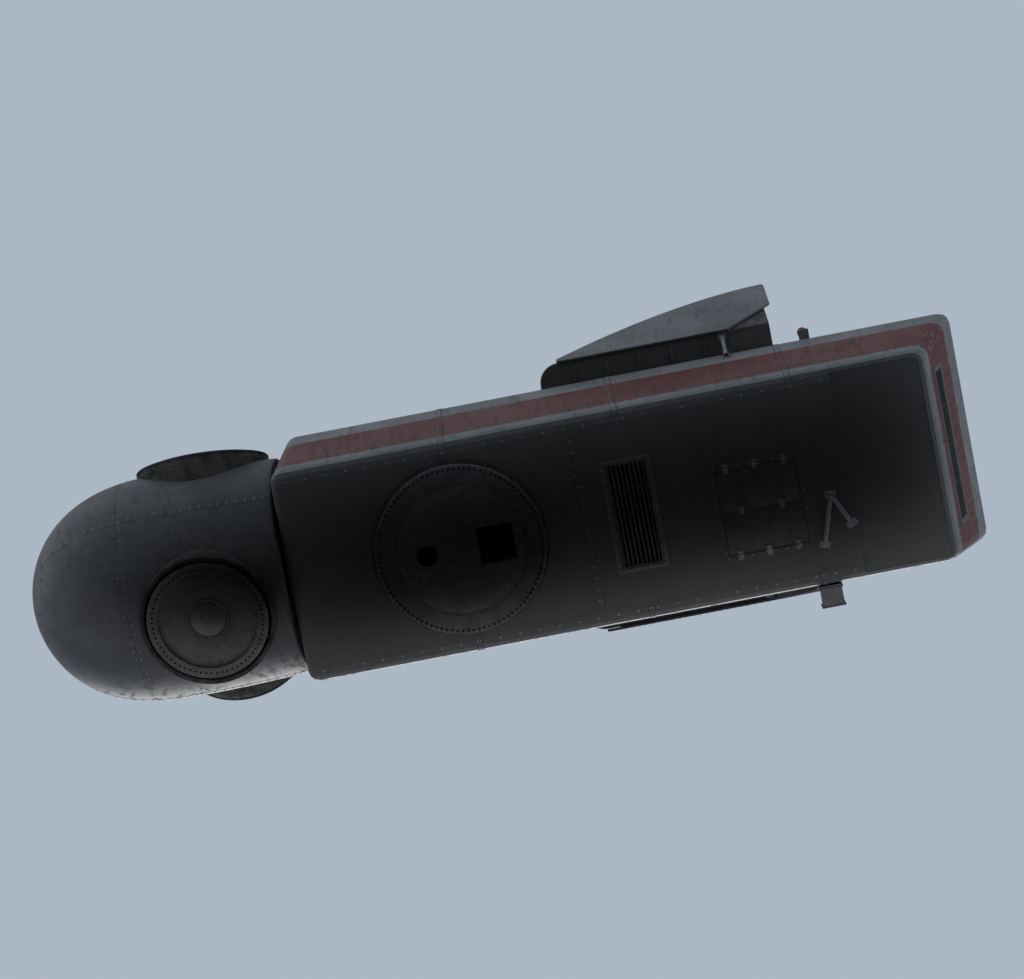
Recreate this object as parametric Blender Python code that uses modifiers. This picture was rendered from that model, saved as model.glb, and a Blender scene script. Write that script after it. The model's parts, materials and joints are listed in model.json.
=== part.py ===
"""Wind turbine nacelle with its rotor head, at full size, in metres.

The housing's long axis lies along X with the rotor towards -X, and +Z is up.
The origin is the centre of the tower flange's lower face, on the yaw axis.
Everything above the tower ring turns about +Z, the rotor head turns about the
rotor axis, and each blade flange turns about its own blade axis.
"""

import math

import bmesh
import bpy
from mathutils import Matrix, Vector

# Housing: a box with rounded edges. Its side walls flare out towards the roof,
# its rear wall leans back and its front wall is square to the rotor axis.
FLOOR_Z = 0.34
HOUSING_H = 3.50
FLOOR_HALF = 2.20
ROOF_HALF = 2.48
FRONT_X = -3.60
REAR_X = 9.96
REAR_LEAN = 1.00
EDGE_R = 0.24
SKIN = 0.10
SEAM = 0.004
ROOF_Z = FLOOR_Z + HOUSING_H

# Rotor axis: tilted nose up, crossing the yaw axis at this height.
TILT = math.radians(5.0)
AXIS_Z = 1.95
HUB_X = -5.15
HUB_Z = AXIS_Z - HUB_X * math.tan(TILT)
BLADE_ANGLES = (-101.0, 19.0, 139.0)

# Where the housing's panels meet.
SIDE_SPLIT_X = 3.60
FLOOR_SPLIT_X = 2.60
FLOOR_STEP_X = 8.05
FLOOR_STEP = 0.06
ROOF_SPLIT_X = (1.30, 8.00)

# Openings in the housing, and the gap round what fills them.
FILL_GAP = 0.003
HATCH_L = 1.70
HATCH_W = 1.80
HATCH_T = 0.07
HATCH_X = 6.20
HATCH_Y = 0.35
INLET_L = 0.90
INLET_W = 2.20
INLET_T = 0.08
INLET_X = 3.60
LOUVRE_W = 3.20
LOUVRE_H = 0.70
LOUVRE_UP = 1.35
SHAFT_OPENING_R = 1.30

# Tower ring: flange, neck and deck plate.
FLANGE_R = 1.75
FLANGE_T = 0.16
NECK_R = 1.62
NECK_TOP_Z = 0.50
BORE_R = 1.30
DECK_T = 0.05
MANHOLE = 0.76
MANHOLE_X = 0.74
CABLE_HOLE_R = 0.22
CABLE_HOLE_X = -0.70

# Mainframe above the tower ring, the yaw seal and the shaft's bearing.
RUN_GAP = 0.008
FRAME_R = 1.94
FRAME_TOP_Z = 0.92
RECESS_R = 1.73
YAW_OPENING_R = 1.72
BEAM_W = 2.10
BEAM_X0 = -3.30
BEAM_X1 = -0.80
SEAL_R_IN = 1.66
SEAL_R_OUT = 1.82
SEAL_Z = 0.24
BEARING_R = 1.22
BEARING_L = 0.66
BEARING_SETBACK = 0.14
FOOT_X0 = -3.22
FOOT_X1 = -2.72
FOOT_W = 1.90
FOOT_H = 0.55

# Spinner, measured along the rotor axis from the blade plane, nose positive.
WALL_S = (HUB_X - FRONT_X) * math.cos(TILT) + (FLOOR_Z - HUB_Z) * math.sin(TILT)
SPINNER_R = 2.35
SPINNER_REAR_R = 2.25
SPINNER_CROWN = 0.90
SPINNER_NOSE = 3.95
SPINNER_REAR = WALL_S + 0.085
SPINNER_BLUNT = 2.45
SPINNER_SKIN = 0.09
NOSE_JOIN = 1.62
SPINNER_BACK_T = 0.06
SPINNER_BACK_BORE = 1.06
LABYRINTH_R_IN = 1.32
LABYRINTH_R_OUT = 1.46
LABYRINTH_T = 0.052

# Hub and main shaft.
HUB_R = 1.60
HUB_STUB_R = 1.14
HUB_STUB_OUT = 1.755
SHAFT_R = 0.80
SHAFT_FLANGE_R = 0.98
SHAFT_FLANGE_S = -1.55
SHAFT_FLANGE_T = 0.10
SHAFT_TAPER = 0.04
SHAFT_END_S = -2.95
SHAFT_RUN_GAP = 0.03

# Blade flanges and the collars round them, measured out from the rotor axis.
BLADE_FLANGE_R = 1.25
BLADE_FLANGE_RING_R = 1.03
BLADE_FLANGE_OUT = 2.46
BLADE_FLANGE_IN = 1.77
BLADE_DISH = 0.10
BLADE_LID_R = 0.36
BLADE_LID_T = 0.03
COLLAR_R_IN = 1.30
COLLAR_R_OUT = 1.40
COLLAR_IN = 1.80
COLLAR_OUT = 2.42
ROOT_OPENING_R = COLLAR_R_OUT + SEAM + 0.002

# Cooler: a tray over the roof that overhangs both walls, side fins that rise
# from its edges to the rear, and a bank of radiators between the fins.
TRAY_X0 = 2.20
TRAY_X1 = 6.30
TRAY_HALF = 2.90
TRAY_T = 0.10
TRAY_LIFT = 0.14
TRAY_CORNER_R = 0.42
TRAY_Z0 = ROOF_Z + TRAY_LIFT
TRAY_Z1 = TRAY_Z0 + TRAY_T
FIN_X0 = 2.45
FIN_X1 = 7.32
FIN_H = 2.80
FIN_CURVE = 1.7
FIN_T = 0.06
FIN_LEAN = math.radians(10.0)
FIN_LIP = 0.07
FIN_LIP_H = 0.20
FIN_TAIL_H = 1.30
BANK_X = 6.82
BANK_HALF = 2.78
SILL_L = 0.72
RADIATOR_T = 0.30
RADIATOR_H = 2.15
HEADER_H = 0.158
CROSS_RAIL_H = 0.04
CROSS_RAIL_UP = 0.31
CHANNEL_W = 0.062
CORE_T = 0.20
POST_W = 0.14
BANK_BEAM_T = 0.12
BEARER_Y = 1.55
BEARER_W = 0.16
BEARER_X0 = 2.50
BRACE_X = 6.15
BRACE_R = 0.045

# Roof and underside fittings.
ROOF_HATCH = 0.95
ROOF_HATCH_T = 0.14
RAIL_Y = 1.90
RAIL_X = (-2.60, 1.00)
RAIL_H = 0.26
RAIL_R = 0.026
LIGHT_X = 7.85
LIGHT_Y = 2.52
LIGHT_ARM_SIZE = (0.22, 0.64, 0.05)
LIGHT_ARM_BACK = 0.20
SENSOR_Y = 0.80
OUTLET_SIZE = (0.50, 0.45, 0.50)
OUTLET_WALL = 0.06
OUTLET_X = 7.30
OUTLET_Z = 0.72
BRACKET_R = 0.045
BRACKET = ((7.33, 1.36), (7.62, 0.36), (7.95, 1.02))

CLEAR = 0.0003
ROUND = 48
SPINNER_ROUND = 64
HUB_ROUND = 32
FINE_ROUND = 12


def clear_scene():
    for thing in list(bpy.data.objects):
        bpy.data.objects.remove(thing, do_unlink=True)


def make_collection(name):
    collection = bpy.data.collections.new(name)
    bpy.context.scene.collection.children.link(collection)
    return collection


def make_material(name, colour, roughness, metallic=0.0):
    material = bpy.data.materials.new(name)
    material.use_nodes = True
    shader = material.node_tree.nodes["Principled BSDF"]
    shader.inputs["Base Color"].default_value = (*colour, 1.0)
    shader.inputs["Roughness"].default_value = roughness
    shader.inputs["Metallic"].default_value = metallic
    material.diffuse_color = (*colour, 1.0)
    return material


clear_scene()
PARTS = make_collection("wind_turbine_nacelle")
CUTTERS = make_collection("cutters")

GELCOAT = make_material("gelcoat", (0.56, 0.58, 0.59), 0.45)
CAST_IRON = make_material("cast_iron", (0.26, 0.27, 0.28), 0.55, 0.7)
STEEL = make_material("zinc_steel", (0.50, 0.51, 0.52), 0.4, 0.9)
RUBBER = make_material("black_rubber", (0.03, 0.03, 0.03), 0.8)
RADIATOR = make_material("radiator_black", (0.06, 0.06, 0.065), 0.5, 0.6)
LAMP_RED = make_material("lamp_red", (0.55, 0.03, 0.02), 0.2)


def make_object(name, mesh, material, parent=None, collection=None):
    thing = bpy.data.objects.new(name, mesh)
    (collection or PARTS).objects.link(thing)
    if material:
        mesh.materials.append(material)
    if parent:
        thing.parent = parent
    return thing


def mesh_from(bm, name):
    mesh = bpy.data.meshes.new(name)
    bm.to_mesh(mesh)
    bm.free()
    return mesh


def smooth(thing, angle=35.0):
    thing.data.shade_smooth()
    thing.data.set_sharp_from_angle(angle=math.radians(angle))
    return thing


def box_mesh(name, size, centre=(0.0, 0.0, 0.0)):
    bm = bmesh.new()
    bmesh.ops.create_cube(bm, size=1.0)
    bmesh.ops.scale(bm, vec=size, verts=bm.verts)
    bmesh.ops.translate(bm, vec=centre, verts=bm.verts)
    return mesh_from(bm, name)


def box(name, size, place, material, parent=None, bevel=0.0):
    """A box whose object stands at its own centre, with rounded edges if asked."""
    thing = make_object(name, box_mesh(name, size), material, parent)
    thing.location = place
    if bevel:
        edge = thing.modifiers.new("edges", "BEVEL")
        edge.width = bevel
        edge.segments = 2
        edge.limit_method = "ANGLE"
    return thing


def cylinder_mesh(name, radius, z0, z1, segments=ROUND):
    bm = bmesh.new()
    bmesh.ops.create_cone(
        bm,
        cap_ends=True,
        segments=segments,
        radius1=radius,
        radius2=radius,
        depth=z1 - z0,
    )
    bmesh.ops.translate(bm, vec=(0.0, 0.0, (z0 + z1) / 2), verts=bm.verts)
    return mesh_from(bm, name)


def turned(name, profile, material, parent=None, steps=ROUND, closed=True):
    """A ring or a solid of revolution about the object's Z from points (radius, height)."""
    bm = bmesh.new()
    verts = [bm.verts.new((radius, 0.0, height)) for radius, height in profile]
    for first, second in zip(verts, verts[1:]):
        bm.edges.new((first, second))
    if closed:
        bm.edges.new((verts[-1], verts[0]))
    thing = make_object(name, mesh_from(bm, name), material, parent)
    screw = thing.modifiers.new("turn", "SCREW")
    screw.axis = "Z"
    screw.steps = steps
    screw.render_steps = steps
    screw.use_merge_vertices = True
    screw.merge_threshold = 0.0001
    screw.use_smooth_shade = True
    return thing


def tube(name, points, radius, material, parent=None):
    """A round bar along straight runs between points, with closed ends."""
    curve = bpy.data.curves.new(name, "CURVE")
    curve.dimensions = "3D"
    curve.bevel_depth = radius
    curve.bevel_resolution = 2
    curve.render_resolution_u = 0
    curve.use_fill_caps = True
    spline = curve.splines.new("POLY")
    spline.points.add(len(points) - 1)
    for point, place in zip(spline.points, points):
        point.co = (*place, 1.0)
    return make_object(name, curve, material, parent)


def outline_plate(name, outline, thickness, material, parent=None):
    """A flat plate in the object's XY plane, half its thickness to each side."""
    curve = bpy.data.curves.new(name, "CURVE")
    curve.dimensions = "2D"
    curve.fill_mode = "BOTH"
    curve.extrude = thickness / 2
    curve.render_resolution_u = 0
    spline = curve.splines.new("POLY")
    spline.points.add(len(outline) - 1)
    for point, place in zip(spline.points, outline):
        point.co = (place[0], place[1], 0.0, 1.0)
    spline.use_cyclic_u = True
    return to_mesh(make_object(name, curve, material, parent))


def to_mesh(thing):
    """Turns a curve object into a mesh object with welded caps."""
    bpy.context.view_layer.update()
    graph = bpy.context.evaluated_depsgraph_get()
    mesh = bpy.data.meshes.new_from_object(thing.evaluated_get(graph))
    bm = bmesh.new()
    bm.from_mesh(mesh)
    bmesh.ops.remove_doubles(bm, verts=bm.verts, dist=0.0001)
    bm.to_mesh(mesh)
    bm.free()
    name = thing.name
    parent = thing.parent
    place = thing.matrix_world.copy()
    bpy.data.objects.remove(thing, do_unlink=True)
    solid = bpy.data.objects.new(name, mesh)
    PARTS.objects.link(solid)
    solid.parent = parent
    solid.matrix_world = place
    return solid


def cutter(name, mesh, parent=None):
    thing = make_object(name, mesh, None, parent, CUTTERS)
    thing.hide_render = True
    thing.display_type = "WIRE"
    return thing


def boolean(thing, operand, operation="DIFFERENCE"):
    step = thing.modifiers.new(operand.name, "BOOLEAN")
    step.operation = operation
    step.solver = "EXACT"
    step.object = operand
    return thing


def empty(name, matrix, parent=None):
    guide = bpy.data.objects.new(name, None)
    PARTS.objects.link(guide)
    guide.parent = parent
    guide.matrix_local = matrix
    return guide


def arc(centre, radius, start, stop, steps):
    """Points along an arc, from and to these angles in degrees."""
    points = []
    for angle in spread(start, stop, steps + 1):
        across = centre[0] + radius * math.cos(math.radians(angle))
        along = centre[1] + radius * math.sin(math.radians(angle))
        points.append((across, along))
    return points


def spread(start, stop, count):
    """Evenly spaced numbers from start to stop."""
    return [start + (stop - start) * i / (count - 1) for i in range(count)]


# Axes of motion
YAW = empty("yaw_axis", Matrix.Identity(4))

FORWARD = Vector((-math.cos(TILT), 0.0, math.sin(TILT)))
SIDE = Vector((0.0, -1.0, 0.0))
UP = FORWARD.cross(SIDE)
HUB = Vector((HUB_X, 0.0, HUB_Z))


def frame_matrix(x_axis, y_axis, z_axis, origin):
    turn = Matrix((x_axis, y_axis, z_axis)).transposed().to_4x4()
    return Matrix.Translation(origin) @ turn


ROTOR = empty("rotor_axis", frame_matrix(SIDE, UP, FORWARD, HUB), YAW)
ROTOR_SEAT = empty("rotor_axis_fixed", frame_matrix(SIDE, UP, FORWARD, HUB), YAW)


def blade_matrix(degrees):
    """Local Z runs out along the blade and local X points towards the nose."""
    angle = math.radians(degrees)
    out = Vector((math.cos(angle), math.sin(angle), 0.0))
    nose = Vector((0.0, 0.0, 1.0))
    return frame_matrix(nose, out.cross(nose), out, Vector((0.0, 0.0, 0.0)))


BLADES = [
    empty(f"blade_axis_{number}", blade_matrix(degrees), ROTOR)
    for number, degrees in enumerate(BLADE_ANGLES, 1)
]


# Housing panels: slices of one rounded form
def side_y(z):
    """How far out the side walls' outer faces are at height z."""
    return FLOOR_HALF + (ROOF_HALF - FLOOR_HALF) * (z - FLOOR_Z) / HOUSING_H


def housing_form():
    """The whole housing as one solid, before it is sliced into its panels."""
    bm = bmesh.new()
    bmesh.ops.create_cube(bm, size=1.0)
    front_lean = HOUSING_H * math.tan(TILT)
    for vert in bm.verts:
        z = ROOF_Z if vert.co.z > 0.0 else FLOOR_Z
        x, lean = (REAR_X, REAR_LEAN) if vert.co.x > 0.0 else (FRONT_X, front_lean)
        x += lean * (z - FLOOR_Z) / HOUSING_H
        vert.co = (x, math.copysign(side_y(z), vert.co.y), z)
    bmesh.ops.bevel(
        bm,
        geom=list(bm.edges),
        offset=EDGE_R,
        segments=3,
        profile=0.5,
        affect="EDGES",
    )
    return bm


def face(point, normal):
    """One of the housing's outer faces: a point on it and its outward normal."""
    return (Vector(point), Vector(normal).normalized())


FRONT_FACE = face((FRONT_X, 0.0, FLOOR_Z), FORWARD)
REAR_FACE = face((REAR_X, 0.0, FLOOR_Z), (HOUSING_H, 0.0, -REAR_LEAN))
FLOOR_FACE = face((0.0, 0.0, FLOOR_Z), (0.0, 0.0, -1.0))
ROOF_FACE = face((0.0, 0.0, ROOF_Z), (0.0, 0.0, 1.0))
SIDE_FACES = {
    side: face((0.0, sign * FLOOR_HALF, FLOOR_Z), (0.0, sign * HOUSING_H, FLOOR_HALF - ROOF_HALF))
    for side, sign in (("left", -1), ("right", 1))
}


def skin_of(outer):
    """Keeps what lies within one skin of an outer face."""
    point, normal = outer
    return (point - normal * SKIN, -normal)


def inside(outer):
    """Keeps what lies deeper than that skin and the seam behind it."""
    point, normal = outer
    return (point - normal * (SKIN + SEAM), normal)


def behind(x):
    return ((x, 0.0, 0.0), (-1.0, 0.0, 0.0))


def ahead(x):
    return ((x - SEAM, 0.0, 0.0), (1.0, 0.0, 0.0))


def panel(name, planes):
    """A slice of the housing's form: each plane's normal points at what is cut away."""
    bm = housing_form()
    for point, normal in planes:
        cut = bmesh.ops.bisect_plane(
            bm,
            geom=list(bm.verts) + list(bm.edges) + list(bm.faces),
            plane_co=point,
            plane_no=normal,
            clear_outer=True,
            dist=0.00001,
        )
        rim = [e for e in cut["geom_cut"] if isinstance(e, bmesh.types.BMEdge)]
        rim = [e for e in rim if e.is_boundary]
        bmesh.ops.holes_fill(bm, edges=rim, sides=0)
    bmesh.ops.recalc_face_normals(bm, faces=bm.faces)
    return smooth(make_object(name, mesh_from(bm, name), GELCOAT, YAW))


def louvre_place():
    """Middle of the rear louvre, in the middle of the rear wall's skin."""
    point, normal = REAR_FACE
    up = Vector((REAR_LEAN, 0.0, HOUSING_H)).normalized()
    across = Vector((0.0, 1.0, 0.0))
    return frame_matrix(normal, across, up, point + up * LOUVRE_UP - normal * SKIN / 2)


def build_walls():
    ends = [inside(FRONT_FACE), inside(REAR_FACE)]
    for side, outer in SIDE_FACES.items():
        panel(f"side_wall_{side}_front", [skin_of(outer), ahead(SIDE_SPLIT_X)] + ends)
        panel(f"side_wall_{side}_rear", [skin_of(outer), behind(SIDE_SPLIT_X)] + ends)
    wall = panel("front_wall", [skin_of(FRONT_FACE)])
    shaft = cylinder_mesh("shaft_opening", SHAFT_OPENING_R, WALL_S - 0.5, WALL_S + 0.5)
    boolean(wall, cutter("shaft_opening", shaft, ROTOR))
    rear = panel("rear_wall", [skin_of(REAR_FACE)])
    vent = cutter("vent_opening", box_mesh("vent_opening", (1.0, LOUVRE_W, LOUVRE_H)), YAW)
    vent.matrix_local = louvre_place()
    boolean(rear, vent)


def build_floor_and_roof():
    ends = [inside(FRONT_FACE), inside(REAR_FACE)]
    ends += [inside(outer) for outer in SIDE_FACES.values()]
    floor = [skin_of(FLOOR_FACE)] + ends
    front = panel("floor_front", floor + [ahead(FLOOR_SPLIT_X)])
    hole = cylinder_mesh("yaw_opening", YAW_OPENING_R, 0.0, 1.0)
    boolean(front, cutter("yaw_opening", hole, YAW))
    middle = panel("floor_middle", floor + [behind(FLOOR_SPLIT_X), ahead(FLOOR_STEP_X)])
    for name, size, x, y in (
        ("hatch_opening", (HATCH_L, HATCH_W, 1.0), HATCH_X, HATCH_Y),
        ("inlet_opening", (INLET_L, INLET_W, 1.0), INLET_X, 0.0),
    ):
        boolean(middle, cutter(name, box_mesh(name, size, (x, y, FLOOR_Z)), YAW))
    step_under = ((0.0, 0.0, FLOOR_Z + FLOOR_STEP), (0.0, 0.0, -1.0))
    step_over = ((0.0, 0.0, FLOOR_Z + FLOOR_STEP + SKIN), (0.0, 0.0, 1.0))
    panel("floor_rear", [step_under, step_over, behind(FLOOR_STEP_X)] + ends)
    roof = [skin_of(ROOF_FACE)] + ends
    panel("roof_front", roof + [ahead(ROOF_SPLIT_X[0])])
    panel("roof_middle", roof + [behind(ROOF_SPLIT_X[0]), ahead(ROOF_SPLIT_X[1])])
    panel("roof_rear", roof + [behind(ROOF_SPLIT_X[1])])


# What closes the openings
def slotted(name, length, slots, slot, tilt, axis):
    """A cutter of like slots in a row along an axis, each turned by tilt."""
    bm = bmesh.new()
    pitch = length / slots
    for i in range(slots):
        place = Vector((0.0, 0.0, 0.0))
        place[axis] = (i + 0.5) * pitch - length / 2
        grown = bmesh.ops.create_cube(bm, size=1.0)["verts"]
        bmesh.ops.scale(bm, vec=slot, verts=grown)
        bmesh.ops.rotate(bm, matrix=Matrix.Rotation(tilt, 3, "Y"), verts=grown)
        bmesh.ops.translate(bm, vec=place, verts=grown)
    return mesh_from(bm, name)


def build_grille(name, size, place, slots, length, slot, axis):
    """A plate with slanted slots through it, set at a place."""
    grille = make_object(name, box_mesh(name, size), RADIATOR, YAW)
    grille.matrix_local = place
    cut = cutter(f"{name}_slots", slotted(f"{name}_slots", length, slots, slot, 0.5, axis), YAW)
    cut.matrix_local = place
    boolean(grille, cut)


def build_closures():
    slack = 2 * FILL_GAP
    box(
        "crane_hatch",
        (HATCH_L - slack, HATCH_W - slack, HATCH_T),
        (HATCH_X, HATCH_Y, FLOOR_Z + 0.025),
        GELCOAT,
        YAW,
        0.012,
    )
    build_grille(
        "floor_inlet",
        (INLET_L - slack, INLET_W - slack, INLET_T),
        Matrix.Translation((INLET_X, 0.0, FLOOR_Z + SKIN / 2)),
        6,
        INLET_L - 0.12,
        (0.055, INLET_W - 0.16, 0.3),
        0,
    )
    build_grille(
        "rear_louvre",
        (SKIN, LOUVRE_W - slack, LOUVRE_H - slack),
        louvre_place(),
        5,
        LOUVRE_H - 0.10,
        (0.4, LOUVRE_W - 0.16, 0.05),
        2,
    )
    turned(
        "front_labyrinth",
        (
            (LABYRINTH_R_OUT, WALL_S + LABYRINTH_T),
            (LABYRINTH_R_OUT, WALL_S + CLEAR),
            (LABYRINTH_R_IN, WALL_S + CLEAR),
            (LABYRINTH_R_IN, WALL_S + LABYRINTH_T),
        ),
        CAST_IRON,
        ROTOR_SEAT,
    )


# Tower ring, yaw seal, mainframe and shaft bearing
def build_tower_ring():
    """The fixed ring that bolts to the tower: its lower face is the origin's plane."""
    profile = (
        (0.0, DECK_T),
        (BORE_R, DECK_T),
        (BORE_R, NECK_TOP_Z),
        (NECK_R, NECK_TOP_Z),
        (NECK_R, FLANGE_T),
        (FLANGE_R, FLANGE_T),
        (FLANGE_R, 0.0),
        (0.0, 0.0),
    )
    ring = turned("tower_ring", profile, CAST_IRON, closed=False)
    manhole = box_mesh("deck_manhole", (MANHOLE, MANHOLE, 0.4), (MANHOLE_X, 0.0, 0.0))
    boolean(ring, cutter("deck_manhole", manhole))
    cables = cutter(
        "deck_cable_hole", cylinder_mesh("deck_cable_hole", CABLE_HOLE_R, -0.2, 0.2, FINE_ROUND)
    )
    cables.location.x = CABLE_HOLE_X
    boolean(ring, cables)


def build_mainframe():
    inner = FLOOR_Z + SKIN + CLEAR
    recess_top = NECK_TOP_Z + RUN_GAP
    profile = (
        (0.0, FRAME_TOP_Z),
        (FRAME_R, FRAME_TOP_Z),
        (FRAME_R, inner),
        (RECESS_R, inner),
        (RECESS_R, recess_top),
        (0.0, recess_top),
    )
    frame = turned("mainframe", profile, CAST_IRON, YAW, closed=False)
    beam_z0 = recess_top + RUN_GAP
    beam_z1 = FRAME_TOP_Z - RUN_GAP
    beam = box_mesh(
        "mainframe_beam",
        (BEAM_X1 - BEAM_X0, BEAM_W, beam_z1 - beam_z0),
        ((BEAM_X0 + BEAM_X1) / 2, 0.0, (beam_z0 + beam_z1) / 2),
    )
    boolean(frame, cutter("mainframe_beam", beam, YAW), "UNION")
    manhole = box_mesh("frame_manhole", (MANHOLE, MANHOLE, 3.0), (MANHOLE_X, 0.0, 0.0))
    boolean(frame, cutter("frame_manhole", manhole, YAW))
    seal_top = FLOOR_Z - CLEAR
    seal = ((SEAL_R_OUT, seal_top), (SEAL_R_OUT, SEAL_Z), (SEAL_R_IN, SEAL_Z), (SEAL_R_IN, seal_top))
    turned("yaw_seal", seal, RUBBER, YAW)


def build_bearing():
    """The shaft's bearing housing, with its foot on the mainframe's beam."""
    front = WALL_S - BEARING_SETBACK
    back = front - BEARING_L
    bore_r = SHAFT_R + SHAFT_RUN_GAP
    ring = ((BEARING_R, front), (BEARING_R, back), (bore_r, back), (bore_r, front))
    housing = turned("bearing_housing", ring, CAST_IRON, ROTOR_SEAT)
    foot_z0 = FRAME_TOP_Z - RUN_GAP + CLEAR
    foot = box_mesh(
        "bearing_foot",
        (FOOT_X1 - FOOT_X0, FOOT_W, FOOT_H),
        ((FOOT_X0 + FOOT_X1) / 2, 0.0, foot_z0 + FOOT_H / 2),
    )
    boolean(housing, cutter("bearing_foot", foot, YAW), "UNION")
    bore = cylinder_mesh("bearing_bore", bore_r, back - 0.5, front + 0.5)
    boolean(housing, cutter("bearing_bore", bore, ROTOR_SEAT))


# Rotor head
def spinner_radius(s):
    """Outer radius of the spinner at a distance s ahead of the blade plane."""
    if s >= SPINNER_CROWN:
        share = (s - SPINNER_CROWN) / (SPINNER_NOSE - SPINNER_CROWN)
        return SPINNER_R * math.sqrt(max(0.0, 1.0 - share**SPINNER_BLUNT))
    share = (SPINNER_CROWN - s) / (SPINNER_CROWN - SPINNER_REAR)
    return SPINNER_R - (SPINNER_R - SPINNER_REAR_R) * share**2


def spinner_outline(stations, inset):
    return [(max(spinner_radius(s) - inset, 0.0), s) for s in stations]


def build_spinner():
    outer = spinner_outline(spread(NOSE_JOIN, SPINNER_REAR, 6), 0.0)
    inner = spinner_outline(spread(SPINNER_REAR, NOSE_JOIN, 4), SPINNER_SKIN)
    shell = turned("spinner_shell", outer + inner, GELCOAT, ROTOR, SPINNER_ROUND)
    for number, axis in enumerate(BLADES, 1):
        hole = cylinder_mesh(f"root_opening_{number}", ROOT_OPENING_R, 0.9, 3.0, ROUND)
        boolean(shell, cutter(f"root_opening_{number}", hole, axis))
    join = NOSE_JOIN + SEAM
    turns = [math.sin(math.radians(a)) for a in spread(90.0, 0.0, 9)]
    outer = spinner_outline([join + (SPINNER_NOSE - join) * t for t in turns], 0.0)
    hollow = SPINNER_NOSE - 2 * SPINNER_SKIN - join
    turns = [math.sin(math.radians(a)) for a in spread(0.0, 80.0, 5)]
    inner = spinner_outline([join + hollow * t for t in turns], SPINNER_SKIN)
    inner.append((0.0, SPINNER_NOSE - SPINNER_SKIN))
    turned("spinner_nose", outer + inner, GELCOAT, ROTOR, SPINNER_ROUND, closed=False)
    back_r = SPINNER_REAR_R - SPINNER_SKIN - SEAM
    back_s = SPINNER_REAR + SPINNER_BACK_T
    turned(
        "spinner_back",
        (
            (back_r, back_s),
            (back_r, SPINNER_REAR),
            (SPINNER_BACK_BORE, SPINNER_REAR),
            (SPINNER_BACK_BORE, back_s),
        ),
        GELCOAT,
        ROTOR,
        SPINNER_ROUND,
    )


def build_hub():
    bm = bmesh.new()
    bmesh.ops.create_uvsphere(bm, u_segments=24, v_segments=12, radius=HUB_R)
    hub = smooth(make_object("hub", mesh_from(bm, "hub"), CAST_IRON, ROTOR))
    for number, axis in enumerate(BLADES, 1):
        stub = cylinder_mesh(f"hub_stub_{number}", HUB_STUB_R, 0.2, HUB_STUB_OUT, HUB_ROUND)
        boolean(hub, cutter(f"hub_stub_{number}", stub, axis), "UNION")
    tail = cylinder_mesh("hub_tail", SHAFT_FLANGE_R, SHAFT_FLANGE_S, -0.5, HUB_ROUND)
    boolean(hub, cutter("hub_tail", tail, ROTOR), "UNION")
    trim = cylinder_mesh("hub_trim", HUB_R, SHAFT_FLANGE_S - 0.5, SHAFT_FLANGE_S, HUB_ROUND)
    boolean(hub, cutter("hub_trim", trim, ROTOR))
    end = SHAFT_FLANGE_S - CLEAR
    flange_end = end - SHAFT_FLANGE_T
    profile = (
        (0.0, end),
        (SHAFT_FLANGE_R, end),
        (SHAFT_FLANGE_R, flange_end),
        (SHAFT_R, flange_end - SHAFT_TAPER),
        (SHAFT_R, SHAFT_END_S),
        (0.0, SHAFT_END_S),
    )
    turned("main_shaft", profile, STEEL, ROTOR, closed=False)


def build_blade_seats():
    """Collars on the spinner, and the pitch flanges that carry the blades."""
    dish = BLADE_FLANGE_OUT - BLADE_DISH
    profile = (
        (0.0, dish + BLADE_LID_T),
        (BLADE_LID_R, dish + BLADE_LID_T),
        (BLADE_LID_R, dish),
        (BLADE_FLANGE_RING_R, dish),
        (BLADE_FLANGE_RING_R, BLADE_FLANGE_OUT),
        (BLADE_FLANGE_R, BLADE_FLANGE_OUT),
        (BLADE_FLANGE_R, BLADE_FLANGE_IN),
        (0.0, BLADE_FLANGE_IN),
    )
    rim = (
        (COLLAR_R_OUT, COLLAR_OUT),
        (COLLAR_R_OUT, COLLAR_IN),
        (COLLAR_R_IN, COLLAR_IN),
        (COLLAR_R_IN, COLLAR_OUT),
    )
    for number, axis in enumerate(BLADES, 1):
        turned(f"blade_collar_{number}", rim, RUBBER, axis)
        turned(f"pitch_flange_{number}", profile, CAST_IRON, axis, closed=False)


# Cooler on the roof
def build_tray():
    r = TRAY_CORNER_R
    outline = [(TRAY_X1, -TRAY_HALF), (TRAY_X1, TRAY_HALF)]
    outline += arc((TRAY_X0 + r, TRAY_HALF - r), r, 90.0, 180.0, 5)
    outline += arc((TRAY_X0 + r, r - TRAY_HALF), r, 180.0, 270.0, 5)
    tray = outline_plate("cooler_tray", outline, TRAY_T, GELCOAT, YAW)
    tray.location.z = (TRAY_Z0 + TRAY_Z1) / 2


def fin_outline():
    """The side fin from its foot line: a curved top edge and a cut-away tail."""
    length = FIN_X1 - FIN_X0
    lip_x = TRAY_X0 + TRAY_CORNER_R
    outline = [(lip_x, 0.0), (TRAY_X1, 0.0), (FIN_X1, FIN_TAIL_H), (FIN_X1, FIN_H)]
    for share in spread(0.92, (lip_x - FIN_X0) / length, 10):
        height = FIN_H * (1.0 - (1.0 - share) ** FIN_CURVE)
        outline.append((FIN_X0 + length * share, max(height, FIN_LIP_H)))
    return outline


def fin_foot_y():
    """The fin's middle at its foot, so that its inner face just clears the tray."""
    half = FIN_T / 2 / math.cos(FIN_LEAN)
    return TRAY_HALF + SEAM + half - FIN_LIP * math.tan(FIN_LEAN)


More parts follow.
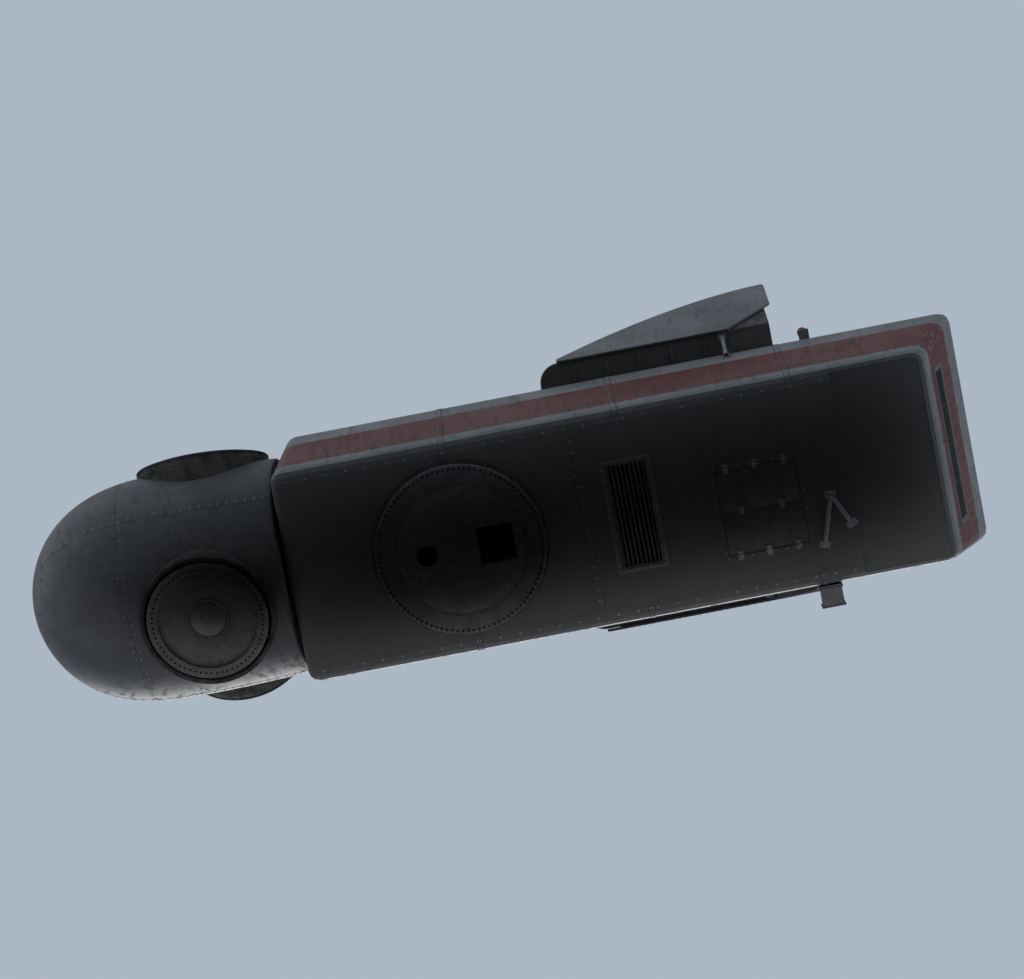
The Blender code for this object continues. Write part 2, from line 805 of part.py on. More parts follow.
def build_fin(side, sign):
    outline = fin_outline()
    if sign > 0:
        outline.reverse()
    fin = outline_plate(f"cooler_fin_{side}", outline, FIN_T, GELCOAT, YAW)
    stand = Matrix.Rotation(math.radians(90.0), 4, "X")
    lean = Matrix.Rotation(-sign * FIN_LEAN, 4, "X")
    foot = Matrix.Translation((0.0, sign * fin_foot_y(), TRAY_Z0 - FIN_LIP))
    fin.matrix_local = foot @ lean @ stand


def radiator_fields(width):
    """What lies open before and behind the core, between headers, channels and rails."""
    edge = RADIATOR_H / 2 - HEADER_H
    rail_low = CROSS_RAIL_UP - CROSS_RAIL_H / 2
    rail_high = CROSS_RAIL_UP + CROSS_RAIL_H / 2
    bm = bmesh.new()
    for low, high in ((-edge, -rail_high), (-rail_low, rail_low), (rail_high, edge)):
        for sign in (-1, 1):
            grown = bmesh.ops.create_cube(bm, size=1.0)["verts"]
            size = (RADIATOR_T, width - 2 * CHANNEL_W, high - low)
            bmesh.ops.scale(bm, vec=size, verts=grown)
            ahead_of_core = sign * (CORE_T + RADIATOR_T) / 2
            bmesh.ops.translate(bm, vec=(ahead_of_core, 0.0, (low + high) / 2), verts=grown)
    return mesh_from(bm, "radiator_fields")


def build_bank():
    """Sill, radiators, posts and top beam, and returns the height of the beam's top."""
    foot_z = TRAY_Z1 + CLEAR
    middle_z = foot_z + RADIATOR_H / 2
    width = BANK_HALF - 1.5 * POST_W
    box(
        "radiator_sill",
        (SILL_L, 2 * BANK_HALF, TRAY_T),
        (BANK_X, 0.0, (TRAY_Z0 + TRAY_Z1) / 2),
        STEEL,
        YAW,
    )
    post_size = (RADIATOR_T * 0.8, POST_W - 2 * CLEAR, RADIATOR_H)
    box("radiator_post_middle", post_size, (BANK_X, 0.0, middle_z), STEEL, YAW)
    for side, sign in (("left", -1), ("right", 1)):
        centre = sign * (POST_W + width) / 2
        size = (RADIATOR_T, width - 2 * CLEAR, RADIATOR_H)
        radiator = box(f"radiator_{side}", size, (BANK_X, centre, middle_z), RADIATOR, YAW)
        fields = cutter(f"radiator_fields_{side}", radiator_fields(width), YAW)
        fields.location = radiator.location
        boolean(radiator, fields)
        end = sign * (BANK_HALF - POST_W / 2)
        box(f"radiator_post_{side}", post_size, (BANK_X, end, middle_z), STEEL, YAW)
    beam_z = foot_z + RADIATOR_H + CLEAR
    beam_size = (RADIATOR_T + 0.06, 2 * BANK_HALF, BANK_BEAM_T)
    box("radiator_beam", beam_size, (BANK_X, 0.0, beam_z + BANK_BEAM_T / 2), STEEL, YAW)
    return beam_z + BANK_BEAM_T


def build_carriers(side, sign, beam_top):
    """What holds the cooler: a bearer on the roof, a wall brace and a fin stay."""
    bearer_x1 = BANK_X + SILL_L / 2
    box(
        f"cooler_bearer_{side}",
        (bearer_x1 - BEARER_X0, BEARER_W, TRAY_LIFT - 2 * CLEAR),
        ((BEARER_X0 + bearer_x1) / 2, sign * BEARER_Y, ROOF_Z + TRAY_LIFT / 2),
        STEEL,
        YAW,
    )
    low_z = ROOF_Z - 0.50
    low = (BRACE_X, sign * (side_y(low_z) + BRACE_R), low_z)
    high = (BRACE_X, sign * (TRAY_HALF - 0.10), TRAY_Z0 - BRACE_R)
    tube(f"cooler_brace_{side}", (low, high), BRACE_R, STEEL, YAW)
    stay_z = beam_top - BANK_BEAM_T / 2
    fin_y = fin_foot_y() + (stay_z - TRAY_Z0 + FIN_LIP) * math.tan(FIN_LEAN)
    outer_y = fin_y - FIN_T / 2 / math.cos(FIN_LEAN) - 0.008
    inner_y = BANK_HALF + CLEAR
    points = ((BANK_X, sign * inner_y, stay_z), (BANK_X, sign * outer_y, stay_z))
    tube(f"fin_stay_{side}", points, 0.03, STEEL, YAW)


def build_cooler():
    build_tray()
    beam_top = build_bank()
    for side, sign in (("left", -1), ("right", 1)):
        build_fin(side, sign)
        build_carriers(side, sign, beam_top)
    foot = (BANK_X - 1.45, 0.0, TRAY_Z1 + 0.035)
    head = (BANK_X - RADIATOR_T * 0.4 - 0.035, 0.0, TRAY_Z1 + RADIATOR_H * 0.8)
    tube("cooler_strut", (foot, head), 0.03, STEEL, YAW)
    return beam_top


# Roof and underside fittings
def build_lamp(side, sign):
    """An obstruction light on an arm that carries it out over the roof's edge."""
    foot_z = LIGHT_ARM_SIZE[2] - CLEAR
    profile = (
        (0.0, 0.62),
        (0.09, 0.58),
        (0.11, 0.44),
        (0.11, 0.36),
        (0.05, 0.34),
        (0.05, 0.09),
        (0.10, 0.08),
        (0.10, foot_z),
        (0.0, foot_z),
    )
    lamp = turned(f"obstruction_light_{side}", profile, LAMP_RED, YAW, FINE_ROUND, closed=False)
    lamp.location = (LIGHT_X, sign * LIGHT_Y, ROOF_Z)
    middle = (0.0, -sign * LIGHT_ARM_BACK, LIGHT_ARM_SIZE[2] / 2 + CLEAR)
    arm = cutter(f"light_arm_{side}", box_mesh("light_arm", LIGHT_ARM_SIZE, middle), YAW)
    arm.location = lamp.location
    boolean(lamp, arm, "UNION")


def build_sensor(name, y, base_z, head_r, head_z0, head_z1):
    """A wind sensor on its post: a round head over a thin stem and a foot."""
    profile = (
        (0.0, head_z1 + 0.02),
        (head_r, head_z1),
        (head_r, head_z0),
        (0.03, head_z0 - 0.02),
        (0.03, 0.04),
        (0.09, 0.035),
        (0.09, CLEAR),
        (0.0, CLEAR),
    )
    post = turned(name, profile, STEEL, YAW, FINE_ROUND, closed=False)
    post.location = (BANK_X, y, base_z)


def build_fittings(beam_top):
    for name, x, y in (("roof_hatch_front", -0.9, 0.75), ("roof_hatch_rear", 9.3, 0.0)):
        size = (ROOF_HATCH, ROOF_HATCH, ROOF_HATCH_T)
        box(name, size, (x, y, ROOF_Z + ROOF_HATCH_T / 2 + CLEAR), GELCOAT, YAW, 0.03)
    low = ROOF_Z + 0.001
    for side, sign in (("left", -1), ("right", 1)):
        y = sign * RAIL_Y
        points = [(x, y, z) for x, z in zip(RAIL_X, (low, low))]
        raised = [(x, y, low + RAIL_H) for x in RAIL_X]
        path = (points[0], raised[0], raised[1], points[1])
        tube(f"roof_rail_{side}", path, RAIL_R, STEEL, YAW)
        build_lamp(side, sign)
    rod = ((0.0, 1.25), (0.012, 1.22), (0.022, 0.05), (0.09, 0.045), (0.09, CLEAR), (0.0, CLEAR))
    mast = turned("lightning_rod", rod, STEEL, YAW, FINE_ROUND, closed=False)
    mast.location = (REAR_X + REAR_LEAN - 0.5, 0.0, ROOF_Z)
    build_sensor("wind_vane_post", -SENSOR_Y, beam_top, 0.10, 0.44, 0.50)
    build_sensor("anemometer_post", SENSOR_Y, beam_top, 0.06, 0.40, 0.54)
    bracket_z = FLOOR_Z - CLEAR - BRACKET_R
    bends = [(x, y, bracket_z) for x, y in BRACKET]
    tube("floor_bracket", bends, BRACKET_R, STEEL, YAW)
    outlet_y = side_y(OUTLET_Z + OUTLET_SIZE[2] / 2) + OUTLET_SIZE[1] / 2 + CLEAR
    outlet = box("side_outlet", OUTLET_SIZE, (OUTLET_X, outlet_y, OUTLET_Z), RADIATOR, YAW, 0.04)
    duct = [OUTLET_SIZE[0] - 2 * OUTLET_WALL, OUTLET_SIZE[1], OUTLET_SIZE[2] - 2 * OUTLET_WALL]
    mouth = cutter("outlet_mouth", box_mesh("outlet_mouth", duct), YAW)
    mouth.location = (OUTLET_X, outlet_y + OUTLET_WALL, OUTLET_Z)
    boolean(outlet, mouth)


build_tower_ring()
build_mainframe()
build_bearing()
build_walls()
build_floor_and_roof()
build_closures()
build_hub()
build_spinner()
build_blade_seats()
build_fittings(build_cooler())
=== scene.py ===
# %% [markdown]
# # Dressing a wind turbine's nacelle
# The solids of the machine are packed already, so this lesson only dresses them. It loads
# them as a fixed frame, puts a camera under them as in the photograph, mixes the finishes
# and then builds the pieces that the plain solids leave out. Every length is in metres,
# X runs along the housing with the rotor towards -X, and Z is up.

# %% Load the frame and keep its box
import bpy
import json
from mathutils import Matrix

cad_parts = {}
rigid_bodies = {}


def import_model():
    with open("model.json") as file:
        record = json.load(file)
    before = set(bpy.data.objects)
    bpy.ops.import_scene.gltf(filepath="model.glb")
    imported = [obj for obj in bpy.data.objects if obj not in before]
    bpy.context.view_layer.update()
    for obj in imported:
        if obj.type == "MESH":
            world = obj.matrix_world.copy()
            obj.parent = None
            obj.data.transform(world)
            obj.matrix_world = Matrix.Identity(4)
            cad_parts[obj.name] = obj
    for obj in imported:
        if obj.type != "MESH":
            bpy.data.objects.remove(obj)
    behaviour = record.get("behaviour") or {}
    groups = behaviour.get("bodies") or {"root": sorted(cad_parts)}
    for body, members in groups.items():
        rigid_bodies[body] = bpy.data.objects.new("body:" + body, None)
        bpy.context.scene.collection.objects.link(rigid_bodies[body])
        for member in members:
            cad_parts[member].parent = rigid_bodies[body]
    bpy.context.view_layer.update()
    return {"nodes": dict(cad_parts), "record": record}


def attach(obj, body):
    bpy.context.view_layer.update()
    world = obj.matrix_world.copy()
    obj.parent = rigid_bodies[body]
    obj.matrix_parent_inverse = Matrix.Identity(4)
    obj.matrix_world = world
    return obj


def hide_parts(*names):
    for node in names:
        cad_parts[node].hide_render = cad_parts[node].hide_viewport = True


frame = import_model()

import json
import math

import bmesh
import bpy
from mathutils import Matrix, Vector

NODES = frame["nodes"]

# %% [markdown]
# ## The camera
# The photograph looks almost straight up from the foot of the tower, from the side of the
# left wall, with the housing rising to the right. A long lens from a hundred metres keeps
# that flat look. The camera could be placed by hand, but building its axes from the three
# measured angles says exactly which way it looks.

# %% Camera under the machine
VIEW_AZIMUTH = math.radians(6.75)
VIEW_ELEVATION = math.radians(-81.6)
VIEW_ROLL = math.radians(11.0)
VIEW_DISTANCE = 100.0
FRAME_FILL = 0.93
PICTURE = (1024, 979)
SENSOR = 36.0

back = Vector((
    math.sin(VIEW_AZIMUTH) * math.cos(VIEW_ELEVATION),
    -math.cos(VIEW_AZIMUTH) * math.cos(VIEW_ELEVATION),
    math.sin(VIEW_ELEVATION),
))
near_side = Vector((0.0, -1.0, 0.0))
level_up = (near_side - back * near_side.dot(back)).normalized()
level_right = level_up.cross(back)
right = math.cos(VIEW_ROLL) * level_right - math.sin(VIEW_ROLL) * level_up
up = math.sin(VIEW_ROLL) * level_right + math.cos(VIEW_ROLL) * level_up

places = [vert.co for node in NODES.values() for vert in node.data.vertices]
across = [place.dot(right) for place in places]
along = [place.dot(up) for place in places]
deep = [place.dot(back) for place in places]
middle = [(min(v) + max(v)) / 2 for v in (across, along, deep)]
target = right * middle[0] + up * middle[1] + back * middle[2]
frame_width = max(
    max(across) - min(across), (max(along) - min(along)) * PICTURE[0] / PICTURE[1]
) / FRAME_FILL

camera_data = bpy.data.cameras.new("camera")
camera_data.sensor_width = SENSOR
camera_data.lens = SENSOR * VIEW_DISTANCE / frame_width
camera_data.clip_end = 2000.0
camera = bpy.data.objects.new("camera", camera_data)
bpy.context.scene.collection.objects.link(camera)
axes = Matrix((right, up, back)).transposed().to_4x4()
camera.matrix_world = Matrix.Translation(target + back * VIEW_DISTANCE) @ axes
bpy.context.scene.camera = camera
print("lens:", round(camera_data.lens, 1), "mm, frame", round(frame_width, 2), "m wide")

# %% [markdown]
# ## Floor and light
# The floor is a plain pale sheet just under the lowest point that the rotor reaches. The
# camera stands below it, so its material is see-through from behind: from above it takes
# shadows as any floor does. A far-off floor would also clear the camera, but then the
# underside would be lit from below, and the real one hangs in its own shade.

# %% Floor, sky and two soft suns
FLOOR_LEVEL = -0.36
FLOOR_REACH = 500.0


def make_floor():
    bm = bmesh.new()
    bmesh.ops.create_grid(bm, x_segments=8, y_segments=8, size=FLOOR_REACH)
    mesh = bpy.data.meshes.new("studio_floor")
    bm.to_mesh(mesh)
    bm.free()
    floor = bpy.data.objects.new("studio_floor", mesh)
    bpy.context.scene.collection.objects.link(floor)
    floor.location.z = FLOOR_LEVEL
    material = bpy.data.materials.new("floor_pale")
    material.use_nodes = True
    tree = material.node_tree
    shader = tree.nodes["Principled BSDF"]
    shader.inputs["Base Color"].default_value = (0.72, 0.73, 0.74, 1.0)
    shader.inputs["Roughness"].default_value = 0.9
    clear = tree.nodes.new("ShaderNodeBsdfTransparent")
    side = tree.nodes.new("ShaderNodeNewGeometry")
    either = tree.nodes.new("ShaderNodeMixShader")
    tree.links.new(side.outputs["Backfacing"], either.inputs["Fac"])
    tree.links.new(shader.outputs["BSDF"], either.inputs[1])
    tree.links.new(clear.outputs["BSDF"], either.inputs[2])
    tree.links.new(either.outputs["Shader"], tree.nodes["Material Output"].inputs["Surface"])
    mesh.materials.append(material)


def add_sun(name, towards, energy, spread):
    data = bpy.data.lights.new(name, "SUN")
    data.energy = energy
    data.angle = math.radians(spread)
    sun = bpy.data.objects.new(name, data)
    bpy.context.scene.collection.objects.link(sun)
    sun.rotation_euler = Vector(towards).to_track_quat("-Z", "Y").to_euler()


def make_sky(colour, seen, shed):
    """A pale backdrop that is seen at one strength and sheds its light at a lower one."""
    world = bpy.data.worlds.new("sky")
    world.use_nodes = True
    tree = world.node_tree
    shade = tree.nodes["Background"]
    shade.inputs["Color"].default_value = (*colour, 1.0)
    path = tree.nodes.new("ShaderNodeLightPath")
    level = tree.nodes.new("ShaderNodeMapRange")
    level.inputs["To Min"].default_value = shed
    level.inputs["To Max"].default_value = seen
    tree.links.new(path.outputs["Is Camera Ray"], level.inputs["Value"])
    tree.links.new(level.outputs["Result"], shade.inputs["Strength"])
    bpy.context.scene.world = world


make_floor()
make_sky((0.77, 0.88, 1.03), 0.54, 0.32)
add_sun("key_light", (0.05, -0.75, -0.85), 1.5, 40.0)
add_sun("fill_light", (0.55, 0.50, -0.55), 0.30, 60.0)
bpy.context.scene.view_settings.view_transform = "Standard"
print("floor at", FLOOR_LEVEL, "m, sky and two suns")

# %% [markdown]
# ## Shader groups
# Weather leaves a few marks on every finish: blotches, streaks that run down, wear on the edges and dust on what faces
# the sky. Two more are painted light: shade on what faces the ground, and on rounded corners a highlight that also
# stands for rubbed paint. Each is a node group with named sockets, so that a material only says how much of it there
# is.
# All of them read the object's own coordinates, so the marks stay put when it moves.

# %% A short way to write nodes
def put(tree, kind, values=None, **settings):
    """Adds a node, sets its properties and either fills or links its named inputs."""
    made = tree.nodes.new("ShaderNode" + kind)
    for name, value in settings.items():
        setattr(made, name, value)
    for name, value in (values or {}).items():
        socket = made.inputs[name]
        if isinstance(value, bpy.types.NodeSocket):
            tree.links.new(value, socket)
        else:
            socket.default_value = value
    return made


def maths(tree, operation, first, second=0.0):
    return put(tree, "Math", {0: first, 1: second}, operation=operation).outputs[0]


def ramp(tree, value, low, high):
    """Turns a value into a mask: 0 up to low, 1 from high on, smooth between them."""
    values = {"Value": value, "From Min": low, "From Max": high}
    return put(tree, "MapRange", values, interpolation_type="SMOOTHSTEP").outputs["Result"]


def noise(tree, place, scale, detail=4.0, roughness=0.55):
    values = {"Vector": place, "Scale": scale, "Detail": detail, "Roughness": roughness}
    return put(tree, "TexNoise", values).outputs["Fac"]


def new_group(name, inputs, outputs=("Mask",)):
    """A node group with number inputs, given as name: default, and number outputs."""
    group = bpy.data.node_groups.new(name, "ShaderNodeTree")
    for socket, value in inputs.items():
        made = group.interface.new_socket(socket, in_out="INPUT", socket_type="NodeSocketFloat")
        made.default_value = value
    for socket in outputs:
        group.interface.new_socket(socket, in_out="OUTPUT", socket_type="NodeSocketFloat")
    return group, put(group, "TexCoord"), group.nodes.new("NodeGroupInput").outputs


def close_group(group, **results):
    end = group.nodes.new("NodeGroupOutput")
    for name, value in results.items():
        group.links.new(value, end.inputs[name])
    print("shader group:", group.name)
    return group


# %% Blotches, streaks and grain
def blotches_group():
    group, place, given = new_group("blotches", {"Scale": 1.0, "Low": 0.4, "High": 0.6})
    cloud = noise(group, place.outputs["Object"], given["Scale"], 6.0, 0.62)
    return close_group(group, Mask=ramp(group, cloud, given["Low"], given["High"]))


def streaks_group():
    """Marks that run down: noise drawn out along Z, broken up by larger patches."""
    group, place, given = new_group("streaks", {"Scale": 6.0, "Low": 0.5, "High": 0.72})
    drawn = put(group, "Mapping", {"Vector": place.outputs["Object"], "Scale": (1.0, 1.0, 0.07)})
    fine = noise(group, drawn.outputs["Vector"], given["Scale"], 5.0, 0.6)
    patch = noise(group, place.outputs["Object"], 0.8, 3.0)
    both = maths(group, "ADD", maths(group, "MULTIPLY", fine, 0.75), maths(group, "MULTIPLY", patch, 0.25))
    return close_group(group, Mask=ramp(group, both, given["Low"], given["High"]))


def grain_group():
    """Fine unevenness for the Height of a Bump node and for roughness."""
    group, place, given = new_group("grain", {"Scale": 40.0, "Waviness": 0.5}, ("Height", "Mask"))
    fine = noise(group, place.outputs["Object"], given["Scale"], 3.0)
    wave = noise(group, place.outputs["Object"], 1.3, 2.0)
    height = maths(group, "ADD", fine, maths(group, "MULTIPLY", wave, given["Waviness"]))
    return close_group(group, Height=height, Mask=fine)


BLOTCHES = blotches_group()
STREAKS = streaks_group()
GRAIN = grain_group()


# %% Edge wear, corner wear with painted highlight, painted shade below and dust on top
def edge_wear_group():
    """Convex edges that have lost their coat, broken up so that no line is whole."""
    group, place, given = new_group("edge_wear", {"Start": 0.52, "End": 0.60, "Breakup": 7.0})
    sharp = put(group, "NewGeometry").outputs["Pointiness"]
    broken = noise(group, place.outputs["Object"], given["Breakup"], 5.0)
    shifted = maths(group, "ADD", sharp, maths(group, "MULTIPLY", maths(group, "SUBTRACT", broken, 0.5), 0.12))
    return close_group(group, Mask=ramp(group, shifted, given["Start"], given["End"]))


def corner_wear_and_highlight_group():
    """Rounds between flat faces, found where the normal leans along two axes; they are lightened as rubbed paint and
    as a painted highlight.
    """
    group, place, given = new_group("corner_wear_and_highlight", {"Low": 0.52, "High": 0.64, "Breakup": 6.0})
    turned = put(group, "SeparateXYZ", {"Vector": place.outputs["Normal"]}).outputs
    x, y, z = (maths(group, "ABSOLUTE", turned[axis]) for axis in "XYZ")
    pairs = [maths(group, "MULTIPLY", a, b) for a, b in ((x, y), (y, z), (x, z))]
    lean = maths(group, "ADD", maths(group, "ADD", pairs[0], pairs[1]), pairs[2])
    lean = maths(group, "MINIMUM", lean, 0.5)
    broken = maths(group, "SUBTRACT", noise(group, place.outputs["Object"], given["Breakup"], 6.0), 0.5)
    shifted = maths(group, "ADD", lean, maths(group, "MULTIPLY", broken, 1.8))
    return close_group(group, Mask=ramp(group, shifted, given["Low"], given["High"]))


def facing_group(name, sign):
    """A mask on what faces down (-1) or up (1), with a ragged border."""
    group, place, given = new_group(name, {"Low": 0.3, "High": 0.8, "Ragged": 0.25})
    facing = put(group, "SeparateXYZ", {"Vector": place.outputs["Normal"]}).outputs["Z"]
    ragged = maths(group, "SUBTRACT", noise(group, place.outputs["Object"], 2.2, 6.0), 0.5)
    value = maths(
        group, "ADD", maths(group, "MULTIPLY", facing, sign),
        maths(group, "MULTIPLY", ragged, given["Ragged"]),
    )
    return close_group(group, Mask=ramp(group, value, given["Low"], given["High"]))


EDGE_WEAR = edge_wear_group()
CORNER_WEAR_AND_HIGHLIGHT = corner_wear_and_highlight_group()
# Painted shade: this mask darkens whatever faces down, standing in for the shade under the machine.
UNDERSIDE_SHADE = facing_group("painted_underside_shade", -1.0)
DUST_ABOVE = facing_group("dust_above", 1.0)


# %% [markdown]
# ## Finishes
# A finish starts from one Principled shader and one base colour, and layers of colour are laid over it through masks,
# as dirt lies on paint, and as painted shade and highlight. The colours come first as plain numbers. They could sit
# inside the nodes, but at the top they are easy to compare.

# %% Colours and the layering helpers
GREY_PAINT = (0.185, 0.195, 0.206)
GREY_CHALKED = (0.255, 0.266, 0.278)
# The cooler's and the spinner's greys are the housing's gelcoat made darker: painted shade for the weaker light on
# them.
COOLER_GREY_SHADED = (0.136, 0.143, 0.150)
COOLER_CHALKED_SHADED = (0.190, 0.198, 0.207)
SPINNER_GREY_SHADED = (0.092, 0.096, 0.102)
SPINNER_CHALKED_SHADED = (0.138, 0.143, 0.150)
RED_PAINT = (0.130, 0.021, 0.017)
RED_CHALKED = (0.170, 0.060, 0.050)
# Near-black greys that paint shade onto what faces down.
UNDERSIDE_SHADE_GREY = (0.070, 0.070, 0.069)
UNDERSIDE_SHADE_BLACK = (0.022, 0.022, 0.021)
DIRT = (0.085, 0.078, 0.066)
DUST = (0.36, 0.35, 0.32)


def group_node(tree, group, output="Mask", **values):
    made = tree.nodes.new("ShaderNodeGroup")
    made.node_tree = group
    for name, value in values.items():
        made.inputs[name].default_value = value
    return made.outputs[output]


def layer(tree, under, over, mask, amount=1.0):
    """Lays one colour over another through a mask."""
    mix = tree.nodes.new("ShaderNodeMix")
    mix.data_type = "RGBA"
    tree.links.new(maths(tree, "MULTIPLY", mask, amount), mix.inputs["Factor"])
    for socket, colour in ((mix.inputs[6], under), (mix.inputs[7], over)):
        if isinstance(colour, bpy.types.NodeSocket):
            tree.links.new(colour, socket)
        else:
            socket.default_value = (*colour, 1.0)
    return mix.outputs[2]


def finish_of(name, metallic=0.0):
    material = bpy.data.materials.new(name)
    material.use_nodes = True
    tree = material.node_tree
    shader = tree.nodes["Principled BSDF"]
    shader.inputs["Metallic"].default_value = metallic
    return material, tree, shader


def set_surface(tree, shader, colour, rough, rough_range, height=None, depth=0.002):
    """Plugs in the colour, a roughness that follows a mask, and a bump of this depth."""
    tree.links.new(colour, shader.inputs["Base Color"])
    values = {"Value": rough, "To Min": rough_range[0], "To Max": rough_range[1]}
    tree.links.new(put(tree, "MapRange", values).outputs["Result"], shader.inputs["Roughness"])
    if height is not None:
        bump = put(tree, "Bump", {"Height": height, "Distance": depth, "Strength": 0.6})
        tree.links.new(bump.outputs["Normal"], shader.inputs["Normal"])


# %% [markdown]
# ### Housing paint
# The housing is light grey gelcoat with one dull red band round it, a warning mark for aircraft. The band could be its
# own thin piece, but real ones are painted on, so it is drawn here by height: a step up at its lower edge and a step
# down at its upper edge, both shifted a little by noise as a rolled edge is. The two greys and the two reds show how
# unevenly the pigment has chalked in the sun. What faces down is darkened towards near-black as painted shade, rounded
# corners are lightened as rubbed paint and painted highlight, and the cooler and spinner take darker copies of the
# grey as painted shade.

# %% Housing paint with its red band
BAND_LOW = 0.94
BAND_HIGH = 2.84


def band_mask(tree):
    place = put(tree, "TexCoord").outputs["Object"]
    height = put(tree, "SeparateXYZ", {"Vector": place}).outputs["Z"]
    wander = maths(tree, "MULTIPLY", maths(tree, "SUBTRACT", noise(tree, place, 5.0), 0.5), 0.03)
    level = maths(tree, "ADD", height, wander)
    above = ramp(tree, level, BAND_LOW - 0.004, BAND_LOW + 0.004)
    below = ramp(tree, level, BAND_HIGH + 0.004, BAND_HIGH - 0.004)
    return maths(tree, "MULTIPLY", above, below)


def speckle_mask(tree):
    """Flecks of the red below and above the band, where it has been patched and worn."""
    place = put(tree, "TexCoord").outputs["Object"]
    height = put(tree, "SeparateXYZ", {"Vector": place}).outputs["Z"]
    near = ramp(tree, maths(tree, "ABSOLUTE", maths(tree, "SUBTRACT", height, 1.9)), 1.75, 0.9)
    spots = ramp(tree, noise(tree, place, 11.0, 6.0, 0.7), 0.60, 0.66)
    return maths(tree, "MULTIPLY", near, spots)


def housing_paint(name, banded, fresh, chalked, shade_colour=UNDERSIDE_SHADE_GREY, under=0.90, rubbed_and_lit=0.45):
    material, tree, shader = finish_of(name)
    clouds = group_node(tree, BLOTCHES, Scale=0.7, Low=0.38, High=0.66)
    colour = layer(tree, fresh, chalked, clouds)
    if banded:
        faded = group_node(tree, STREAKS, Scale=2.6, Low=0.44, High=0.66)
        red = layer(tree, RED_PAINT, RED_CHALKED, faded, 0.75)
        red = layer(tree, red, RED_CHALKED, group_node(tree, BLOTCHES, Scale=0.5, Low=0.45, High=0.60), 0.6)
        red = layer(tree, red, fresh, group_node(tree, BLOTCHES, Scale=16.0, Low=0.66, High=0.70), 0.5)
        colour = layer(tree, colour, RED_CHALKED, speckle_mask(tree), 0.55)
        colour = layer(tree, colour, red, band_mask(tree))
    streaks = group_node(tree, STREAKS, Scale=7.0, Low=0.50, High=0.70)
    colour = layer(tree, colour, DIRT, streaks, 0.5)
    colour = layer(tree, colour, DUST, group_node(tree, DUST_ABOVE, Low=0.5, High=1.0, Ragged=0.9), 0.35)
    # Rounded corners are lightened: partly rubbed paint, partly a painted highlight.
    if rubbed_and_lit:
        colour = layer(tree, colour, chalked, group_node(tree, CORNER_WEAR_AND_HIGHLIGHT), rubbed_and_lit)
    # Painted shade: what faces down is darkened towards a near-black grey.
    colour = layer(tree, colour, shade_colour, group_node(tree, UNDERSIDE_SHADE, Low=0.35, High=0.80), under)
    height = group_node(tree, GRAIN, "Height", Scale=26.0, Waviness=1.8)
    set_surface(tree, shader, colour, streaks, (0.50, 0.78), height, 0.006)
    shader.inputs["Specular IOR Level"].default_value = 0.35
    print("finish:", name)
    return material


HOUSING_PAINT = housing_paint("housing_paint", True, GREY_PAINT, GREY_CHALKED)
# The cooler and spinner take darker, shaded copies of the gelcoat grey, with a near-black painted shade below.
COOLER_PAINT = housing_paint("cooler_paint", False, COOLER_GREY_SHADED, COOLER_CHALKED_SHADED, UNDERSIDE_SHADE_BLACK)
SPINNER_PAINT = housing_paint("spinner_paint", False, SPINNER_GREY_SHADED, SPINNER_CHALKED_SHADED, UNDERSIDE_SHADE_BLACK, 0.45, 0.0)


# %% [markdown]
# ### Cast iron, galvanised steel and bolts
# Castings have a coarse skin under grey primer, galvanised bars show the crystals of the zinc as pale and dark
# spangles, and bolts are plain steel gone dull. Noise gives the casting's skin and cells of a Voronoi texture give the
# spangles. Both finishes take rust, dirt and the painted shade below through the same groups as the paint does. A
# near-black copy of the galvanised finish is painted shade for the radiator bank's frame.

# %% Metals
IRON = (0.105, 0.110, 0.116)
IRON_PALE = (0.165, 0.170, 0.175)
ZINC = (0.36, 0.37, 0.38)
ZINC_DARK = (0.22, 0.228, 0.236)
ZINC_SHADED = (0.080, 0.083, 0.087)
RUST = (0.115, 0.048, 0.022)


def cast_iron():
    material, tree, shader = finish_of("cast_iron_primed", 0.25)
    colour = layer(tree, IRON, IRON_PALE, group_node(tree, BLOTCHES, Scale=1.8))
    colour = layer(tree, colour, RUST, group_node(tree, BLOTCHES, Scale=4.5, Low=0.56, High=0.68), 0.6)
    worn = group_node(tree, EDGE_WEAR, Start=0.53, End=0.60)
    colour = layer(tree, colour, ZINC_DARK, worn, 0.7)
    # Painted shade: the casting darkens on what faces down.
    colour = layer(tree, colour, UNDERSIDE_SHADE_GREY, group_node(tree, UNDERSIDE_SHADE), 0.45)
    grain = group_node(tree, GRAIN, "Height", Scale=60.0, Waviness=0.4)
    set_surface(tree, shader, colour, group_node(tree, BLOTCHES, Scale=3.0), (0.42, 0.68), grain, 0.006)
    return material


def galvanised(name, metallic, under, pale=ZINC, dark=ZINC_DARK):
    material, tree, shader = finish_of(name, metallic)
    place = put(tree, "TexCoord").outputs["Object"]
    cells = put(tree, "TexVoronoi", {"Vector": place, "Scale": 22.0}).outputs["Color"]
    spangle = put(tree, "SeparateColor", {"Color": cells}).outputs["Red"]
    colour = layer(tree, dark, pale, spangle)
    colour = layer(tree, colour, DIRT, group_node(tree, STREAKS, Scale=9.0, Low=0.5, High=0.7), 0.6)
    colour = layer(tree, colour, RUST, group_node(tree, BLOTCHES, Scale=6.0, Low=0.62, High=0.72), 0.55)
    # Painted shade: the zinc darkens on what faces down.
    colour = layer(tree, colour, UNDERSIDE_SHADE_GREY, group_node(tree, UNDERSIDE_SHADE, Low=0.4, High=0.9), under)
    grain = group_node(tree, GRAIN, "Height", Scale=45.0, Waviness=0.2)
    set_surface(tree, shader, colour, spangle, (0.38, 0.56), grain, 0.002)
    return material


